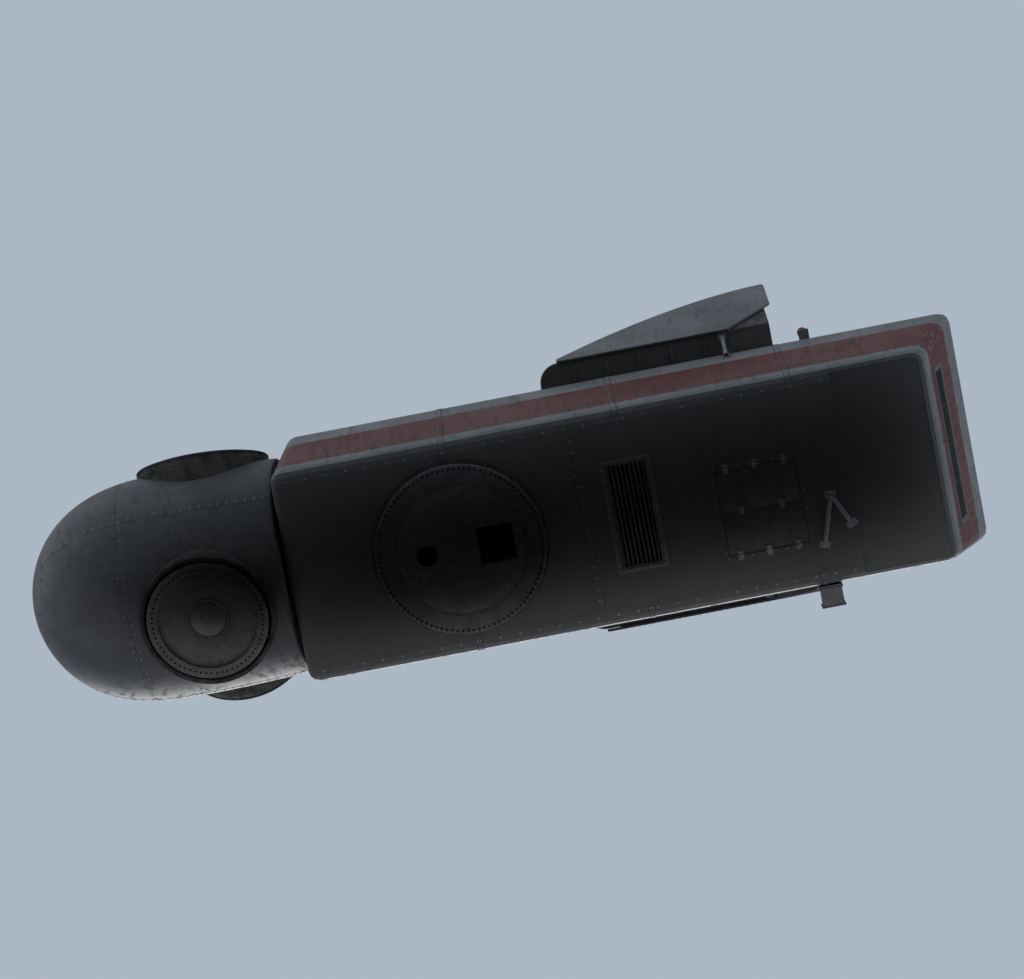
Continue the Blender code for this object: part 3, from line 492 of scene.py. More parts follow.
def bolt_steel():
    material, tree, shader = finish_of("bolt_steel", 0.8)
    colour = layer(tree, ZINC_DARK, ZINC, group_node(tree, BLOTCHES, Scale=14.0))
    colour = layer(tree, colour, RUST, group_node(tree, BLOTCHES, Scale=9.0, Low=0.54, High=0.66), 0.75)
    grain = group_node(tree, GRAIN, "Height", Scale=80.0, Waviness=0.0)
    set_surface(tree, shader, colour, group_node(tree, BLOTCHES, Scale=20.0), (0.35, 0.6), grain, 0.001)
    return material


CAST_IRON = cast_iron()
GALVANISED = galvanised("galvanised", 0.55, 0.55)
PALE_ZINC = galvanised("pale_zinc", 0.15, 0.0)
# A near-black copy of the galvanised finish: painted shade for the radiator bank's posts, sill and gap plate.
SHADED_ZINC = galvanised("shaded_zinc", 0.35, 0.90, ZINC_SHADED, UNDERSIDE_SHADE_GREY)
BOLT_STEEL = bolt_steel()
print("finishes:", CAST_IRON.name, GALVANISED.name, PALE_ZINC.name, SHADED_ZINC.name, BOLT_STEEL.name)


# %% [markdown]
# ### Rubber, radiator black and the red lens
# Rubber is nearly black and turns grey where dust settles. The radiators are matt black
# with bright metal where the coat has gone from their edges. The lens is a clear red
# plastic, and a low roughness with a coat is enough to make it read as one.

# %% Rubber, radiator and lens
def rubber():
    material, tree, shader = finish_of("weathered_rubber")
    colour = layer(tree, (0.016, 0.016, 0.017), (0.050, 0.048, 0.045), group_node(tree, BLOTCHES, Scale=2.5))
    colour = layer(tree, colour, DIRT, group_node(tree, DUST_ABOVE), 0.5)
    grain = group_node(tree, GRAIN, "Height", Scale=90.0, Waviness=0.3)
    set_surface(tree, shader, colour, group_node(tree, BLOTCHES, Scale=6.0), (0.62, 0.9), grain, 0.002)
    return material


def matt_black(name, metallic, bare):
    material, tree, shader = finish_of(name, metallic)
    colour = layer(tree, (0.020, 0.020, 0.022), (0.055, 0.055, 0.056), group_node(tree, BLOTCHES, Scale=1.4))
    colour = layer(tree, colour, DUST, group_node(tree, DUST_ABOVE), 0.25)
    if bare:
        colour = layer(tree, colour, ZINC_DARK, group_node(tree, EDGE_WEAR, Start=0.54, End=0.62), bare)
    grain = group_node(tree, GRAIN, "Height", Scale=70.0, Waviness=0.2)
    set_surface(tree, shader, colour, group_node(tree, BLOTCHES, Scale=5.0), (0.45, 0.7), grain, 0.001)
    return material


def red_lens():
    material, tree, shader = finish_of("red_lens")
    colour = layer(tree, (0.42, 0.010, 0.008), (0.25, 0.006, 0.005), group_node(tree, BLOTCHES, Scale=8.0))
    colour = layer(tree, colour, DUST, group_node(tree, DUST_ABOVE), 0.3)
    set_surface(tree, shader, colour, group_node(tree, BLOTCHES, Scale=12.0), (0.10, 0.28))
    shader.inputs["Coat Weight"].default_value = 0.5
    return material


RUBBER = rubber()
RADIATOR = matt_black("radiator_black", 0.3, 0.6)
# Near-black plate finish for the bank's cheeks: painted shade for the corner behind each fin.
SHADE_BLACK_PLATE = matt_black("shade_black_plate", 0.0, 0.0)
RED_LENS = red_lens()
print("finishes:", RUBBER.name, RADIATOR.name, SHADE_BLACK_PLATE.name, RED_LENS.name)

# %% Give every solid its finish
BY_SLOT = {
    "gelcoat": HOUSING_PAINT, "cast_iron": CAST_IRON, "zinc_steel": GALVANISED,
    "black_rubber": RUBBER, "radiator_black": RADIATOR, "lamp_red": RED_LENS,
}
for part in frame["record"]["subparts"]:
    name = part["node"]
    paint = BY_SLOT[part["material_slot"]]
    if paint is HOUSING_PAINT and name.startswith("cooler"):
        paint = COOLER_PAINT
    if paint is HOUSING_PAINT and name.startswith("spinner"):
        paint = SPINNER_PAINT
    for slot in NODES[name].material_slots:
        slot.material = paint

# %% [markdown]
# ## The machine's own measures
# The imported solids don't say how they were drawn, so the numbers that the new pieces need
# are repeated here: where the housing's faces lie, how its side walls flare, and where the
# rotor's axis runs. With these, a piece is placed on its surface and needs no fitting.

# %% Measures of housing and rotor
FLOOR_Z, ROOF_Z = 0.34, 3.84
FLOOR_HALF, ROOF_HALF = 2.20, 2.48
FRONT_X, REAR_X, REAR_LEAN = -3.60, 9.96, 1.00
EDGE = 0.24
TILT = math.radians(5.0)
HUB = Vector((-5.15, 0.0, 1.95 + 5.15 * math.tan(TILT)))
FORWARD = Vector((-math.cos(TILT), 0.0, math.sin(TILT)))
SIDE = Vector((0.0, -1.0, 0.0))
BLADE_ANGLES = (-101.0, 19.0, 139.0)


def axes_at(x_axis, y_axis, z_axis, origin):
    turn = Matrix((x_axis, y_axis, z_axis)).transposed().to_4x4()
    return Matrix.Translation(origin) @ turn


ROTOR = axes_at(SIDE, FORWARD.cross(SIDE), FORWARD, HUB)


def blade_axes(degrees):
    angle = math.radians(degrees)
    out = Vector((math.cos(angle), math.sin(angle), 0.0))
    nose = Vector((0.0, 0.0, 1.0))
    return ROTOR @ axes_at(nose, out.cross(nose), out, Vector((0.0, 0.0, 0.0)))


BLADES = [blade_axes(degrees) for degrees in BLADE_ANGLES]


def side_y(z):
    """How far out the side walls are at height z."""
    return FLOOR_HALF + (ROOF_HALF - FLOOR_HALF) * (z - FLOOR_Z) / (ROOF_Z - FLOOR_Z)


print("hub at", [round(v, 3) for v in HUB], "walls", side_y(FLOOR_Z), "to", side_y(ROOF_Z))

# %% [markdown]
# ## Tools for making meshes
# Nearly every fitting here is a turned shape, a plate with rounded edges, a bent bar or a
# bolt. Each helper adds one such shape to a bmesh, so a whole fitting ends up as one mesh
# object. Modifiers could round the plates instead, but in one bmesh many small plates can
# share an object and stay light.

# %% Adding shapes to one mesh
def add_turned(bm, profile, steps, matrix, closed=True):
    """Turns points (radius, height) about Z. A point on the axis becomes a single vertex."""
    rings = []
    for radius, height in profile:
        count = steps if radius > 0.0 else 1
        ring = []
        for i in range(count):
            angle = 2 * math.pi * i / steps
            local = Vector((radius * math.cos(angle), radius * math.sin(angle), height))
            ring.append(bm.verts.new(matrix @ local))
        rings.append(ring)
    pairs = list(zip(rings, rings[1:] + ([rings[0]] if closed else [])))
    for first, second in pairs:
        for i in range(steps):
            j = (i + 1) % steps
            corners = [first[i % len(first)], first[j % len(first)], second[j % len(second)], second[i % len(second)]]
            unique = list(dict.fromkeys(corners))
            if len(unique) > 2:
                bm.faces.new(unique)


def add_block(bm, size, matrix, bevel=0.0, segments=2):
    """A plate or bar with rounded edges."""
    grown = bmesh.ops.create_cube(bm, size=1.0)["verts"]
    bmesh.ops.scale(bm, vec=size, verts=grown)
    if bevel:
        edges = list({edge for vert in grown for edge in vert.link_edges})
        made = bmesh.ops.bevel(
            bm, geom=edges, offset=bevel, segments=segments, profile=0.5, affect="EDGES"
        )
        grown = made["verts"]
    bmesh.ops.transform(bm, matrix=matrix, verts=grown)


def add_bar(bm, points, radius, sides=12):
    """A round bar through these points, with mitred bends and closed ends."""
    points = [Vector(point) for point in points]
    runs = [(b - a).normalized() for a, b in zip(points, points[1:])]
    guide = Vector((0.0, 0.0, 1.0))
    if abs(runs[0].dot(guide)) > 0.9:
        guide = Vector((0.0, 1.0, 0.0))
    rings = []
    for i, point in enumerate(points):
        before, after = runs[max(i - 1, 0)], runs[min(i, len(runs) - 1)]
        ahead = (before + after).normalized()
        first = (guide - ahead * guide.dot(ahead)).normalized()
        second = ahead.cross(first)
        ring = []
        for k in range(sides):
            angle = 2 * math.pi * k / sides
            ring.append(bm.verts.new(point + radius * (math.cos(angle) * first + math.sin(angle) * second)))
        rings.append(ring)
        guide = first
    for low, high in zip(rings, rings[1:]):
        for k in range(sides):
            m = (k + 1) % sides
            bm.faces.new((low[k], low[m], high[m], high[k]))
    bm.faces.new(list(reversed(rings[0])))
    bm.faces.new(rings[-1])


def rounded_path(points, radius, steps=5):
    """The same path with each corner replaced by a curve that starts this far from it."""
    points = [Vector(point) for point in points]
    path = [points[0]]
    for before, corner, after in zip(points, points[1:], points[2:]):
        start = corner + (before - corner).normalized() * radius
        stop = corner + (after - corner).normalized() * radius
        for k in range(steps + 1):
            t = k / steps
            path.append(start * (1 - t) ** 2 + corner * 2 * t * (1 - t) + stop * t * t)
    return path + [points[-1]]


def upright(place, outward, twist=0.0):
    """Axes with Z along outward, at a place on a surface."""
    turn = Vector(outward).to_track_quat("Z", "Y").to_matrix().to_4x4()
    return Matrix.Translation(place) @ turn @ Matrix.Rotation(twist, 4, "Z")


def add_bolt(bm, matrix, radius=0.02, height=0.016):
    """A hexagon head with chamfered corners on a round washer."""
    washer = radius * 1.45
    add_turned(bm, ((washer, -0.004), (washer, 0.003), (radius * 0.9, 0.004)), 12, matrix, False)
    head = ((radius, 0.002), (radius, height * 0.8), (radius * 0.82, height), (0.0, height))
    add_turned(bm, head, 6, matrix, False)


def piece(name, bm, material, body, replaced=(), sharp=35.0):
    """Closes a bmesh into an object that rides on a body and may stand for solids."""
    bmesh.ops.recalc_face_normals(bm, faces=bm.faces)
    mesh = bpy.data.meshes.new(name)
    bm.to_mesh(mesh)
    bm.free()
    mesh.shade_smooth()
    mesh.set_sharp_from_angle(angle=math.radians(sharp))
    mesh.materials.append(material)
    made = bpy.data.objects.new(name, mesh)
    bpy.context.scene.collection.objects.link(made)
    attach(made, body)
    if replaced:
        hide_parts(*replaced)
    print("piece:", name, len(mesh.polygons), "faces")
    return made

# %% [markdown]
# ## The spinner
# The spinner is a laminated shell round the hub: a barrel with three holes for the blades
# and a blunt nose. Its outline is turned in many fine steps, so the light runs over it
# without facets. The holes are cut by a boolean, because a blade's round root meets the
# curved barrel along a line that is tedious to draw by hand.

# %% Spinner outline and barrel
CROWN_S, NOSE_S, REAR_S, JOIN_S = 0.90, 3.941, -1.6387, 1.62
SPINNER_R, SPINNER_REAR_R, SPINNER_BLUNT, SPINNER_SKIN = 2.35, 2.25, 2.45, 0.09
ROOT_HOLE_R = 1.406


def spinner_radius(s):
    """Outer radius at a distance s ahead of the blades' plane."""
    if s >= CROWN_S:
        share = (s - CROWN_S) / (NOSE_S - CROWN_S)
        return SPINNER_R * math.sqrt(max(0.0, 1.0 - share**SPINNER_BLUNT))
    share = (CROWN_S - s) / (CROWN_S - REAR_S)
    return SPINNER_R - (SPINNER_R - SPINNER_REAR_R) * share**2


def spread(start, stop, count):
    return [start + (stop - start) * i / (count - 1) for i in range(count)]


def cut_root_holes(made):
    """Cuts the three blade holes and applies the cut, so that only a mesh is left."""
    for number, axis in enumerate(BLADES, 1):
        bm = bmesh.new()
        add_turned(bm, ((0.0, 0.9), (ROOT_HOLE_R, 0.9), (ROOT_HOLE_R, 3.0), (0.0, 3.0)), 96, axis, False)
        bmesh.ops.recalc_face_normals(bm, faces=bm.faces)
        mesh = bpy.data.meshes.new("root_cutter")
        bm.to_mesh(mesh)
        bm.free()
        tool = bpy.data.objects.new("root_cutter", mesh)
        bpy.context.scene.collection.objects.link(tool)
        step = made.modifiers.new(f"root_{number}", "BOOLEAN")
        step.operation = "DIFFERENCE"
        step.solver = "EXACT"
        step.object = tool
    bpy.context.view_layer.update()
    graph = bpy.context.evaluated_depsgraph_get()
    cut = bpy.data.meshes.new_from_object(made.evaluated_get(graph))
    made.modifiers.clear()
    made.data = cut
    for tool in [thing for thing in bpy.data.objects if thing.name.startswith("root_cutter")]:
        bpy.data.objects.remove(tool, do_unlink=True)
    cut.shade_smooth()
    cut.set_sharp_from_angle(angle=math.radians(30.0))


def build_barrel():
    bm = bmesh.new()
    outer = [(spinner_radius(s), s) for s in spread(JOIN_S - 0.012, REAR_S + 0.02, 28)]
    lips = [(SPINNER_REAR_R - 0.012, REAR_S), (SPINNER_REAR_R - SPINNER_SKIN + 0.01, REAR_S)]
    inner = [(spinner_radius(s) - SPINNER_SKIN, s) for s in spread(REAR_S + 0.02, JOIN_S, 16)]
    front = [(spinner_radius(JOIN_S) - 0.012, JOIN_S)]
    add_turned(bm, outer + lips + inner + front, 160, ROTOR)
    made = piece("spinner_barrel", bm, SPINNER_PAINT, "rotor", ["spinner_shell"])
    cut_root_holes(made)
    print("barrel after the cuts:", len(made.data.polygons), "faces")


build_barrel()


# %% Spinner nose
def build_nose():
    bm = bmesh.new()
    start = JOIN_S + 0.004
    turns = [math.sin(math.radians(a)) for a in spread(90.0, 2.5, 30)]
    outer = [(spinner_radius(start + (NOSE_S - start) * t), start + (NOSE_S - start) * t) for t in turns]
    outer[0] = (0.0, NOSE_S)
    rim = [(spinner_radius(start) - 0.012, start)]
    inner_s = [start + (NOSE_S - 2 * SPINNER_SKIN - start) * math.sin(math.radians(a)) for a in spread(0.0, 84.0, 14)]
    inner = [(spinner_radius(s) - SPINNER_SKIN, s) for s in inner_s] + [(0.0, NOSE_S - SPINNER_SKIN)]
    add_turned(bm, outer + rim + inner, 160, ROTOR, False)
    piece("spinner_nose_cap", bm, SPINNER_PAINT, "rotor", ["spinner_nose"])


build_nose()

# %% [markdown]
# ## Blade seats
# Where a blade would stand there is a pitch bearing: a ring with a circle of bolt holes,
# a recessed plate with a lid in its middle, and a rubber collar that keeps rain out of the
# spinner. The holes are real openings. Each sector of the ring is filled round its own
# hole by hand, which keeps the mesh clean where a boolean of many cylinders would be slow.

# %% A ring with a circle of holes
def add_holed_ring(bm, r_in, r_out, z, depth, count, hole_r, matrix, pitch_r, steps=12):
    """A flat annulus at height z with blind holes of this depth; z + depth is their bottom."""
    for i in range(count):
        middle = 2 * math.pi * (i + 0.5) / count
        half = math.pi / count
        centre = Vector((pitch_r * math.cos(middle), pitch_r * math.sin(middle), 0.0))
        rim, frame_ring, low = [], [], []
        for k in range(steps):
            angle = 2 * math.pi * (k + 0.5) / steps
            x, y = math.cos(angle), math.sin(angle)
            big = max(abs(x), abs(y))
            u, v = x / big, y / big
            radius = (r_in + r_out) / 2 + u * (r_out - r_in) / 2
            turn = middle + v * half
            frame_ring.append((radius * math.cos(turn), radius * math.sin(turn), z))
            spot = centre + Matrix.Rotation(middle, 3, "Z") @ Vector((hole_r * x, hole_r * y, 0.0))
            rim.append((spot.x, spot.y, z))
            low.append((spot.x, spot.y, z + depth))
        loops = [[bm.verts.new(matrix @ Vector(p)) for p in loop] for loop in (frame_ring, rim, low)]
        for first, second in zip(loops, loops[1:]):
            for k in range(steps):
                m = (k + 1) % steps
                bm.faces.new((first[k], first[m], second[m], second[k]))
        bm.faces.new(loops[2])


# %% Pitch flanges, lids and collars
SEAT_OUT, SEAT_IN, SEAT_R, RING_R, DISH = 2.46, 1.77, 1.25, 1.03, 0.10
LID_R, LID_T = 0.36, 0.03
BLADE_BOLTS = 64


def build_seat(number, axis):
    bm = bmesh.new()
    dish_z = SEAT_OUT - DISH
    body = (
        (RING_R, SEAT_OUT - 0.006), (RING_R - 0.004, SEAT_OUT - 0.02), (RING_R - 0.006, dish_z + 0.012),
        (RING_R - 0.018, dish_z), (LID_R + 0.10, dish_z), (LID_R + 0.09, dish_z + 0.014),
        (LID_R + 0.02, dish_z + 0.014), (LID_R + 0.01, dish_z + 0.002), (0.0, dish_z + 0.002),
    )
    add_turned(bm, body, 128, axis, False)
    side = (
        (0.0, SEAT_IN), (SEAT_R - 0.01, SEAT_IN), (SEAT_R, SEAT_IN + 0.01), (SEAT_R, 2.15),
        (SEAT_R - 0.025, 2.165), (SEAT_R - 0.025, 2.19), (SEAT_R, 2.205),
        (SEAT_R, SEAT_OUT - 0.008), (SEAT_R - 0.008, SEAT_OUT),
    )
    add_turned(bm, side, 128, axis, False)
    add_holed_ring(bm, RING_R, SEAT_R - 0.008, SEAT_OUT, -0.07, BLADE_BOLTS, 0.024, axis, 1.14)
    bmesh.ops.remove_doubles(bm, verts=bm.verts, dist=0.0004)
    piece(f"pitch_bearing_{number}", bm, CAST_IRON, f"pitch_{number}", [f"pitch_flange_{number}"])
    bm = bmesh.new()
    lid = (
        (0.0, dish_z + LID_T), (LID_R - 0.05, dish_z + LID_T), (LID_R - 0.035, dish_z + LID_T - 0.008),
        (LID_R, dish_z + LID_T - 0.008), (LID_R, dish_z + 0.004),
    )
    add_turned(bm, lid, 64, axis, False)
    for i in range(12):
        turn = Matrix.Rotation(2 * math.pi * i / 12, 4, "Z")
        place = turn @ Matrix.Translation((LID_R - 0.018, 0.0, dish_z + LID_T - 0.008))
        add_bolt(bm, axis @ place, 0.010, 0.008)
    for i in range(24):
        turn = Matrix.Rotation(2 * math.pi * i / 24, 4, "Z")
        add_bolt(bm, axis @ turn @ Matrix.Translation((0.90, 0.0, dish_z)), 0.022, 0.018)
    piece(f"pitch_lid_{number}", bm, GALVANISED, f"pitch_{number}")


def build_collar(number, axis):
    bm = bmesh.new()
    profile = (
        (1.400, 1.84), (1.400, 2.335), (1.396, 2.350), (1.386, 2.352), (1.386, 2.372), (1.396, 2.374),
        (1.400, 2.386), (1.400, 2.412), (1.392, 2.420), (1.345, 2.420), (1.312, 2.408),
        (1.302, 2.385), (1.302, 1.80), (1.392, 1.80),
    )
    add_turned(bm, profile, 144, axis)
    for ring_z in (2.10, 2.17, 2.24):
        rib = [
            (1.400 + 0.006 * math.cos(math.radians(a)), ring_z + 0.014 * math.sin(math.radians(a)))
            for a in (-90, -30, 30, 90)
        ]
        add_turned(bm, rib, 144, axis)
    piece(f"root_collar_{number}", bm, RUBBER, "rotor", [f"blade_collar_{number}"])


for number, axis in enumerate(BLADES, 1):
    build_seat(number, axis)
    build_collar(number, axis)

# %% [markdown]
# ## The cooler's tray and side fins
# Behind the middle of the roof a tray reaches out over both walls, and a fin stands on
# each of its edges, swept up to the rear. Both are flat plates with a drawn outline. A
# plate is made by filling the outline, thickening it and rounding its rim, and the fin is
# then stood up and leaned outwards by the same matrices that placed its solid.

# %% Plates from an outline
def add_outline_plate(bm, outline, thickness, matrix, rim=0.02, segments=3):
    """A flat plate from an outline in its own XY plane, with a rounded rim."""
    part = bmesh.new()
    verts = [part.verts.new((x, y, -thickness / 2)) for x, y in outline]
    bottom = part.faces.new(verts)
    grown = bmesh.ops.extrude_face_region(part, geom=[bottom])["geom"]
    top = [v for v in grown if isinstance(v, bmesh.types.BMVert)]
    bmesh.ops.translate(part, vec=(0.0, 0.0, thickness), verts=top)
    bmesh.ops.recalc_face_normals(part, faces=part.faces)
    rims = [e for e in part.edges if abs(e.verts[0].co.z - e.verts[1].co.z) < 1e-6]
    bmesh.ops.bevel(part, geom=rims, offset=rim, segments=segments, profile=0.5, affect="EDGES")
    part.transform(matrix)
    mesh = bpy.data.meshes.new("plate")
    part.to_mesh(mesh)
    part.free()
    bm.from_mesh(mesh)
    bpy.data.meshes.remove(mesh)


def arc(centre, radius, start, stop, steps):
    return [
        (centre[0] + radius * math.cos(math.radians(a)), centre[1] + radius * math.sin(math.radians(a)))
        for a in spread(start, stop, steps + 1)
    ]


# %% Tray with its rounded rim and ribs
TRAY_X0, TRAY_X1, TRAY_HALF, TRAY_Z0, TRAY_Z1 = 2.20, 6.30, 2.90, 3.98, 4.08
TRAY_CORNER = 0.42


def tray_outline(inset=0.0):
    r = TRAY_CORNER - inset
    half = TRAY_HALF - inset
    outline = [(TRAY_X1 - inset, -half), (TRAY_X1 - inset, half)]
    outline += arc((TRAY_X0 + TRAY_CORNER, half - r), r, 90.0, 180.0, 14)
    return outline + arc((TRAY_X0 + TRAY_CORNER, r - half), r, 180.0, 270.0, 14)


def build_tray():
    bm = bmesh.new()
    z = (TRAY_Z0 + TRAY_Z1) / 2
    add_outline_plate(bm, tray_outline(), TRAY_Z1 - TRAY_Z0, Matrix.Translation((0.0, 0.0, z)), 0.03)
    for sign in (-1, 1):
        for x in spread(2.95, 5.75, 5):
            add_block(bm, (0.05, 0.92, 0.07), Matrix.Translation((x, sign * 2.30, TRAY_Z0 - 0.03)), 0.008)
    for y in spread(-2.1, 2.1, 8):
        add_block(bm, (3.3, 0.10, 0.016), Matrix.Translation((4.35, y, TRAY_Z1 + 0.003)), 0.007, 2)
    piece("cooler_tray_skin", bm, COOLER_PAINT, "nacelle", ["cooler_tray"])
    bolts = bmesh.new()
    for sign in (-1, 1):
        for x in spread(2.80, 6.15, 18):
            add_bolt(bolts, upright(Vector((x, sign * 2.70, TRAY_Z1)), (0.0, 0.0, 1.0)), 0.012, 0.010)
    for y in spread(-2.4, 2.4, 21):
        add_bolt(bolts, upright(Vector((2.36, y, TRAY_Z1)), (0.0, 0.0, 1.0)), 0.012, 0.010)
    piece("tray_bolts", bolts, BOLT_STEEL, "nacelle")


build_tray()

# %% Side fins with a rounded rim and inner ribs
FIN_X0, FIN_X1, FIN_H, FIN_CURVE, FIN_T = 2.45, 7.32, 2.80, 1.7, 0.06
FIN_LEAN, FIN_LIP, FIN_LIP_H, FIN_TAIL_H = math.radians(10.0), 0.07, 0.20, 1.30
FIN_FOOT_Y = TRAY_HALF + 0.004 + FIN_T / 2 / math.cos(FIN_LEAN) - FIN_LIP * math.tan(FIN_LEAN)


def fin_top(x):
    share = (x - FIN_X0) / (FIN_X1 - FIN_X0)
    return max(FIN_H * (1.0 - (1.0 - share) ** FIN_CURVE), FIN_LIP_H)


def fin_outline():
    lip_x = TRAY_X0 + TRAY_CORNER
    outline = [(lip_x + 0.03, 0.0), (TRAY_X1, 0.0), (FIN_X1 - 0.02, FIN_TAIL_H - 0.02), (FIN_X1, FIN_TAIL_H + 0.03)]
    outline += [(FIN_X1, FIN_H - 0.07), (FIN_X1 - 0.02, FIN_H - 0.02), (FIN_X1 - 0.07, FIN_H)]
    outline += [(x, fin_top(x)) for x in spread(FIN_X1 - 0.35, lip_x + 0.02, 40)]
    return outline + [(lip_x, FIN_LIP_H - 0.03), (lip_x, 0.03)]


def fin_axes(sign):
    stand = Matrix.Rotation(math.radians(90.0), 4, "X")
    lean = Matrix.Rotation(-sign * FIN_LEAN, 4, "X")
    return Matrix.Translation((0.0, sign * FIN_FOOT_Y, TRAY_Z0 - FIN_LIP)) @ lean @ stand


def build_fin(side, sign):
    """The plate, and ribs on its inner face, which is where the radiators stand."""
    bm = bmesh.new()
    axes = fin_axes(sign)
    outline = fin_outline()
    add_outline_plate(bm, outline if sign < 0 else outline[::-1], FIN_T, axes, 0.02)
    inward = sign * (FIN_T / 2 + 0.015)
    for x in (3.6, 4.6, 5.6, 6.5):
        top = fin_top(x) - 0.10
        foot = 0.16 if x < TRAY_X1 else 0.55
        size = (0.045, top - foot, 0.04)
        add_block(bm, size, axes @ Matrix.Translation((x, (top + foot) / 2, inward)), 0.008)
    for low, high in (((2.9, 0.24), (6.1, 0.24)), ((4.7, 1.55), (7.1, 1.55))):
        size = (high[0] - low[0], 0.045, 0.036)
        place = Matrix.Translation(((low[0] + high[0]) / 2, low[1], inward))
        add_block(bm, size, axes @ place, 0.008)
    piece(f"fin_{side}", bm, COOLER_PAINT, "nacelle", [f"cooler_fin_{side}"])
    bolts = bmesh.new()
    outward = axes.to_3x3() @ Vector((0.0, 0.0, -sign))
    rows = [(x, y) for x in (3.6, 4.6, 5.6, 6.5) for y in spread(0.62, fin_top(x) - 0.16, max(2, int(fin_top(x) * 4)))]
    rows += [(x, 0.13) for x in spread(3.0, 6.1, 22)] + [(x, 1.55) for x in spread(4.85, 7.05, 11)]
    for x, y in rows:
        add_bolt(bolts, upright(axes @ Vector((x, y, -sign * FIN_T / 2)), outward), 0.011, 0.009)
    piece(f"fin_bolts_{side}", bolts, BOLT_STEEL, "nacelle")


for side, sign in (("left", -1), ("right", 1)):
    build_fin(side, sign)

# %% [markdown]
# ## Radiators
# Between the fins stands a bank of two radiators. Each is a frame of channels round a core
# of upright flat tubes that pass through a stack of thin fins, so dense that nobody sees
# through it. A striped texture would look the same from far off, but real fins catch the
# light from every side. Here every tenth fin or so is drawn, over a solid middle that
# stands for the fins between.

# %% Radiator cores and frames
BANK_X, RADIATOR_T, RADIATOR_H, POST_W, BANK_HALF = 6.82, 0.30, 2.15, 0.14, 2.78
RADIATOR_W = BANK_HALF - 1.5 * POST_W
CORE_T = 0.20
RADIATOR_Z0 = TRAY_Z1 + 0.0003


def build_radiator(side, sign):
    y = sign * (POST_W + RADIATOR_W) / 2
    z = RADIATOR_Z0 + RADIATOR_H / 2
    bm = bmesh.new()
    for up_or_down in (-1, 1):
        place = Matrix.Translation((BANK_X, y, z + up_or_down * (RADIATOR_H / 2 - 0.08)))
        add_block(bm, (RADIATOR_T, RADIATOR_W - 0.002, 0.158), place, 0.02)
        place = Matrix.Translation((BANK_X, y + up_or_down * (RADIATOR_W / 2 - 0.032), z))
        add_block(bm, (RADIATOR_T * 0.94, 0.06, RADIATOR_H - 0.30), place, 0.008)
    for height in (-0.31, 0.31):
        add_block(bm, (RADIATOR_T * 0.88, RADIATOR_W - 0.12, 0.04), Matrix.Translation((BANK_X, y, z + height)), 0.006)
    piece(f"radiator_frame_{side}", bm, RADIATOR, "nacelle", [f"radiator_{side}"])
    bm = bmesh.new()
    core_w = RADIATOR_W - 0.14
    core_h = RADIATOR_H - 0.31
    add_block(bm, (CORE_T - 0.05, core_w, core_h), Matrix.Translation((BANK_X, y, z)), 0.004, 1)
    for shift in spread(-core_w / 2, core_w / 2, 44):
        add_block(bm, (CORE_T, 0.014, core_h), Matrix.Translation((BANK_X, y + shift, z)), 0.004, 1)
    for height in spread(-core_h / 2 + 0.02, core_h / 2 - 0.02, 60):
        add_block(bm, (CORE_T - 0.02, core_w, 0.003), Matrix.Translation((BANK_X, y, z + height)))
    piece(f"radiator_core_{side}", bm, RADIATOR, "nacelle")


for side, sign in (("left", -1), ("right", 1)):
    build_radiator(side, sign)

# %% [markdown]
# ## The bank's frame and the cooler's carriers
# Posts, sill and beam are galvanised sections, and the solids show them as plain bars. A
# real bar ends in a plate with bolts, so every joint gets one: gussets where beam and
# posts meet, end plates on braces, stays and struts, and feet under the bearers. The bars
# could be left plain, but it is the plates that say how the cooler is held.

# %% Posts, beam and their gussets
BEAM_Z = RADIATOR_Z0 + RADIATOR_H + 0.0003
BEAM_T = 0.12
BEAM_TOP = BEAM_Z + BEAM_T


def build_bank_frame():
    bm = bmesh.new()
    post_z = RADIATOR_Z0 + RADIATOR_H / 2
    for y in (-(BANK_HALF - POST_W / 2), 0.0, BANK_HALF - POST_W / 2):
        for edge in (-1, 1):
            place = Matrix.Translation((BANK_X + edge * (RADIATOR_T * 0.4 - 0.005), y, post_z))
            add_block(bm, (0.010, POST_W - 0.002, RADIATOR_H), place, 0.002, 1)
        add_block(bm, (RADIATOR_T * 0.8 - 0.02, 0.012, RADIATOR_H), Matrix.Translation((BANK_X, y, post_z)))
    replaced = [f"radiator_post_{side}" for side in ("left", "middle", "right")]
    # The posts take the near-black shaded zinc, which is painted shade.
    piece("bank_posts", bm, SHADED_ZINC, "nacelle", replaced)
    bm = bmesh.new()
    depth = RADIATOR_T + 0.06
    middle = BEAM_Z + BEAM_T / 2
    for z in (BEAM_Z + 0.006, BEAM_TOP - 0.006):
        add_block(bm, (depth, 2 * BANK_HALF, 0.012), Matrix.Translation((BANK_X, 0.0, z)), 0.003, 1)
    for edge in (-1, 1):
        place = Matrix.Translation((BANK_X + edge * (depth / 2 - 0.03), 0.0, middle))
        add_block(bm, (0.012, 2 * BANK_HALF - 0.004, BEAM_T - 0.02), place)
    for y in spread(-BANK_HALF + 0.01, BANK_HALF - 0.01, 9):
        add_block(bm, (depth - 0.01, 0.012, BEAM_T - 0.02), Matrix.Translation((BANK_X, y, middle)))
    piece("bank_beam", bm, GALVANISED, "nacelle", ["radiator_beam"])


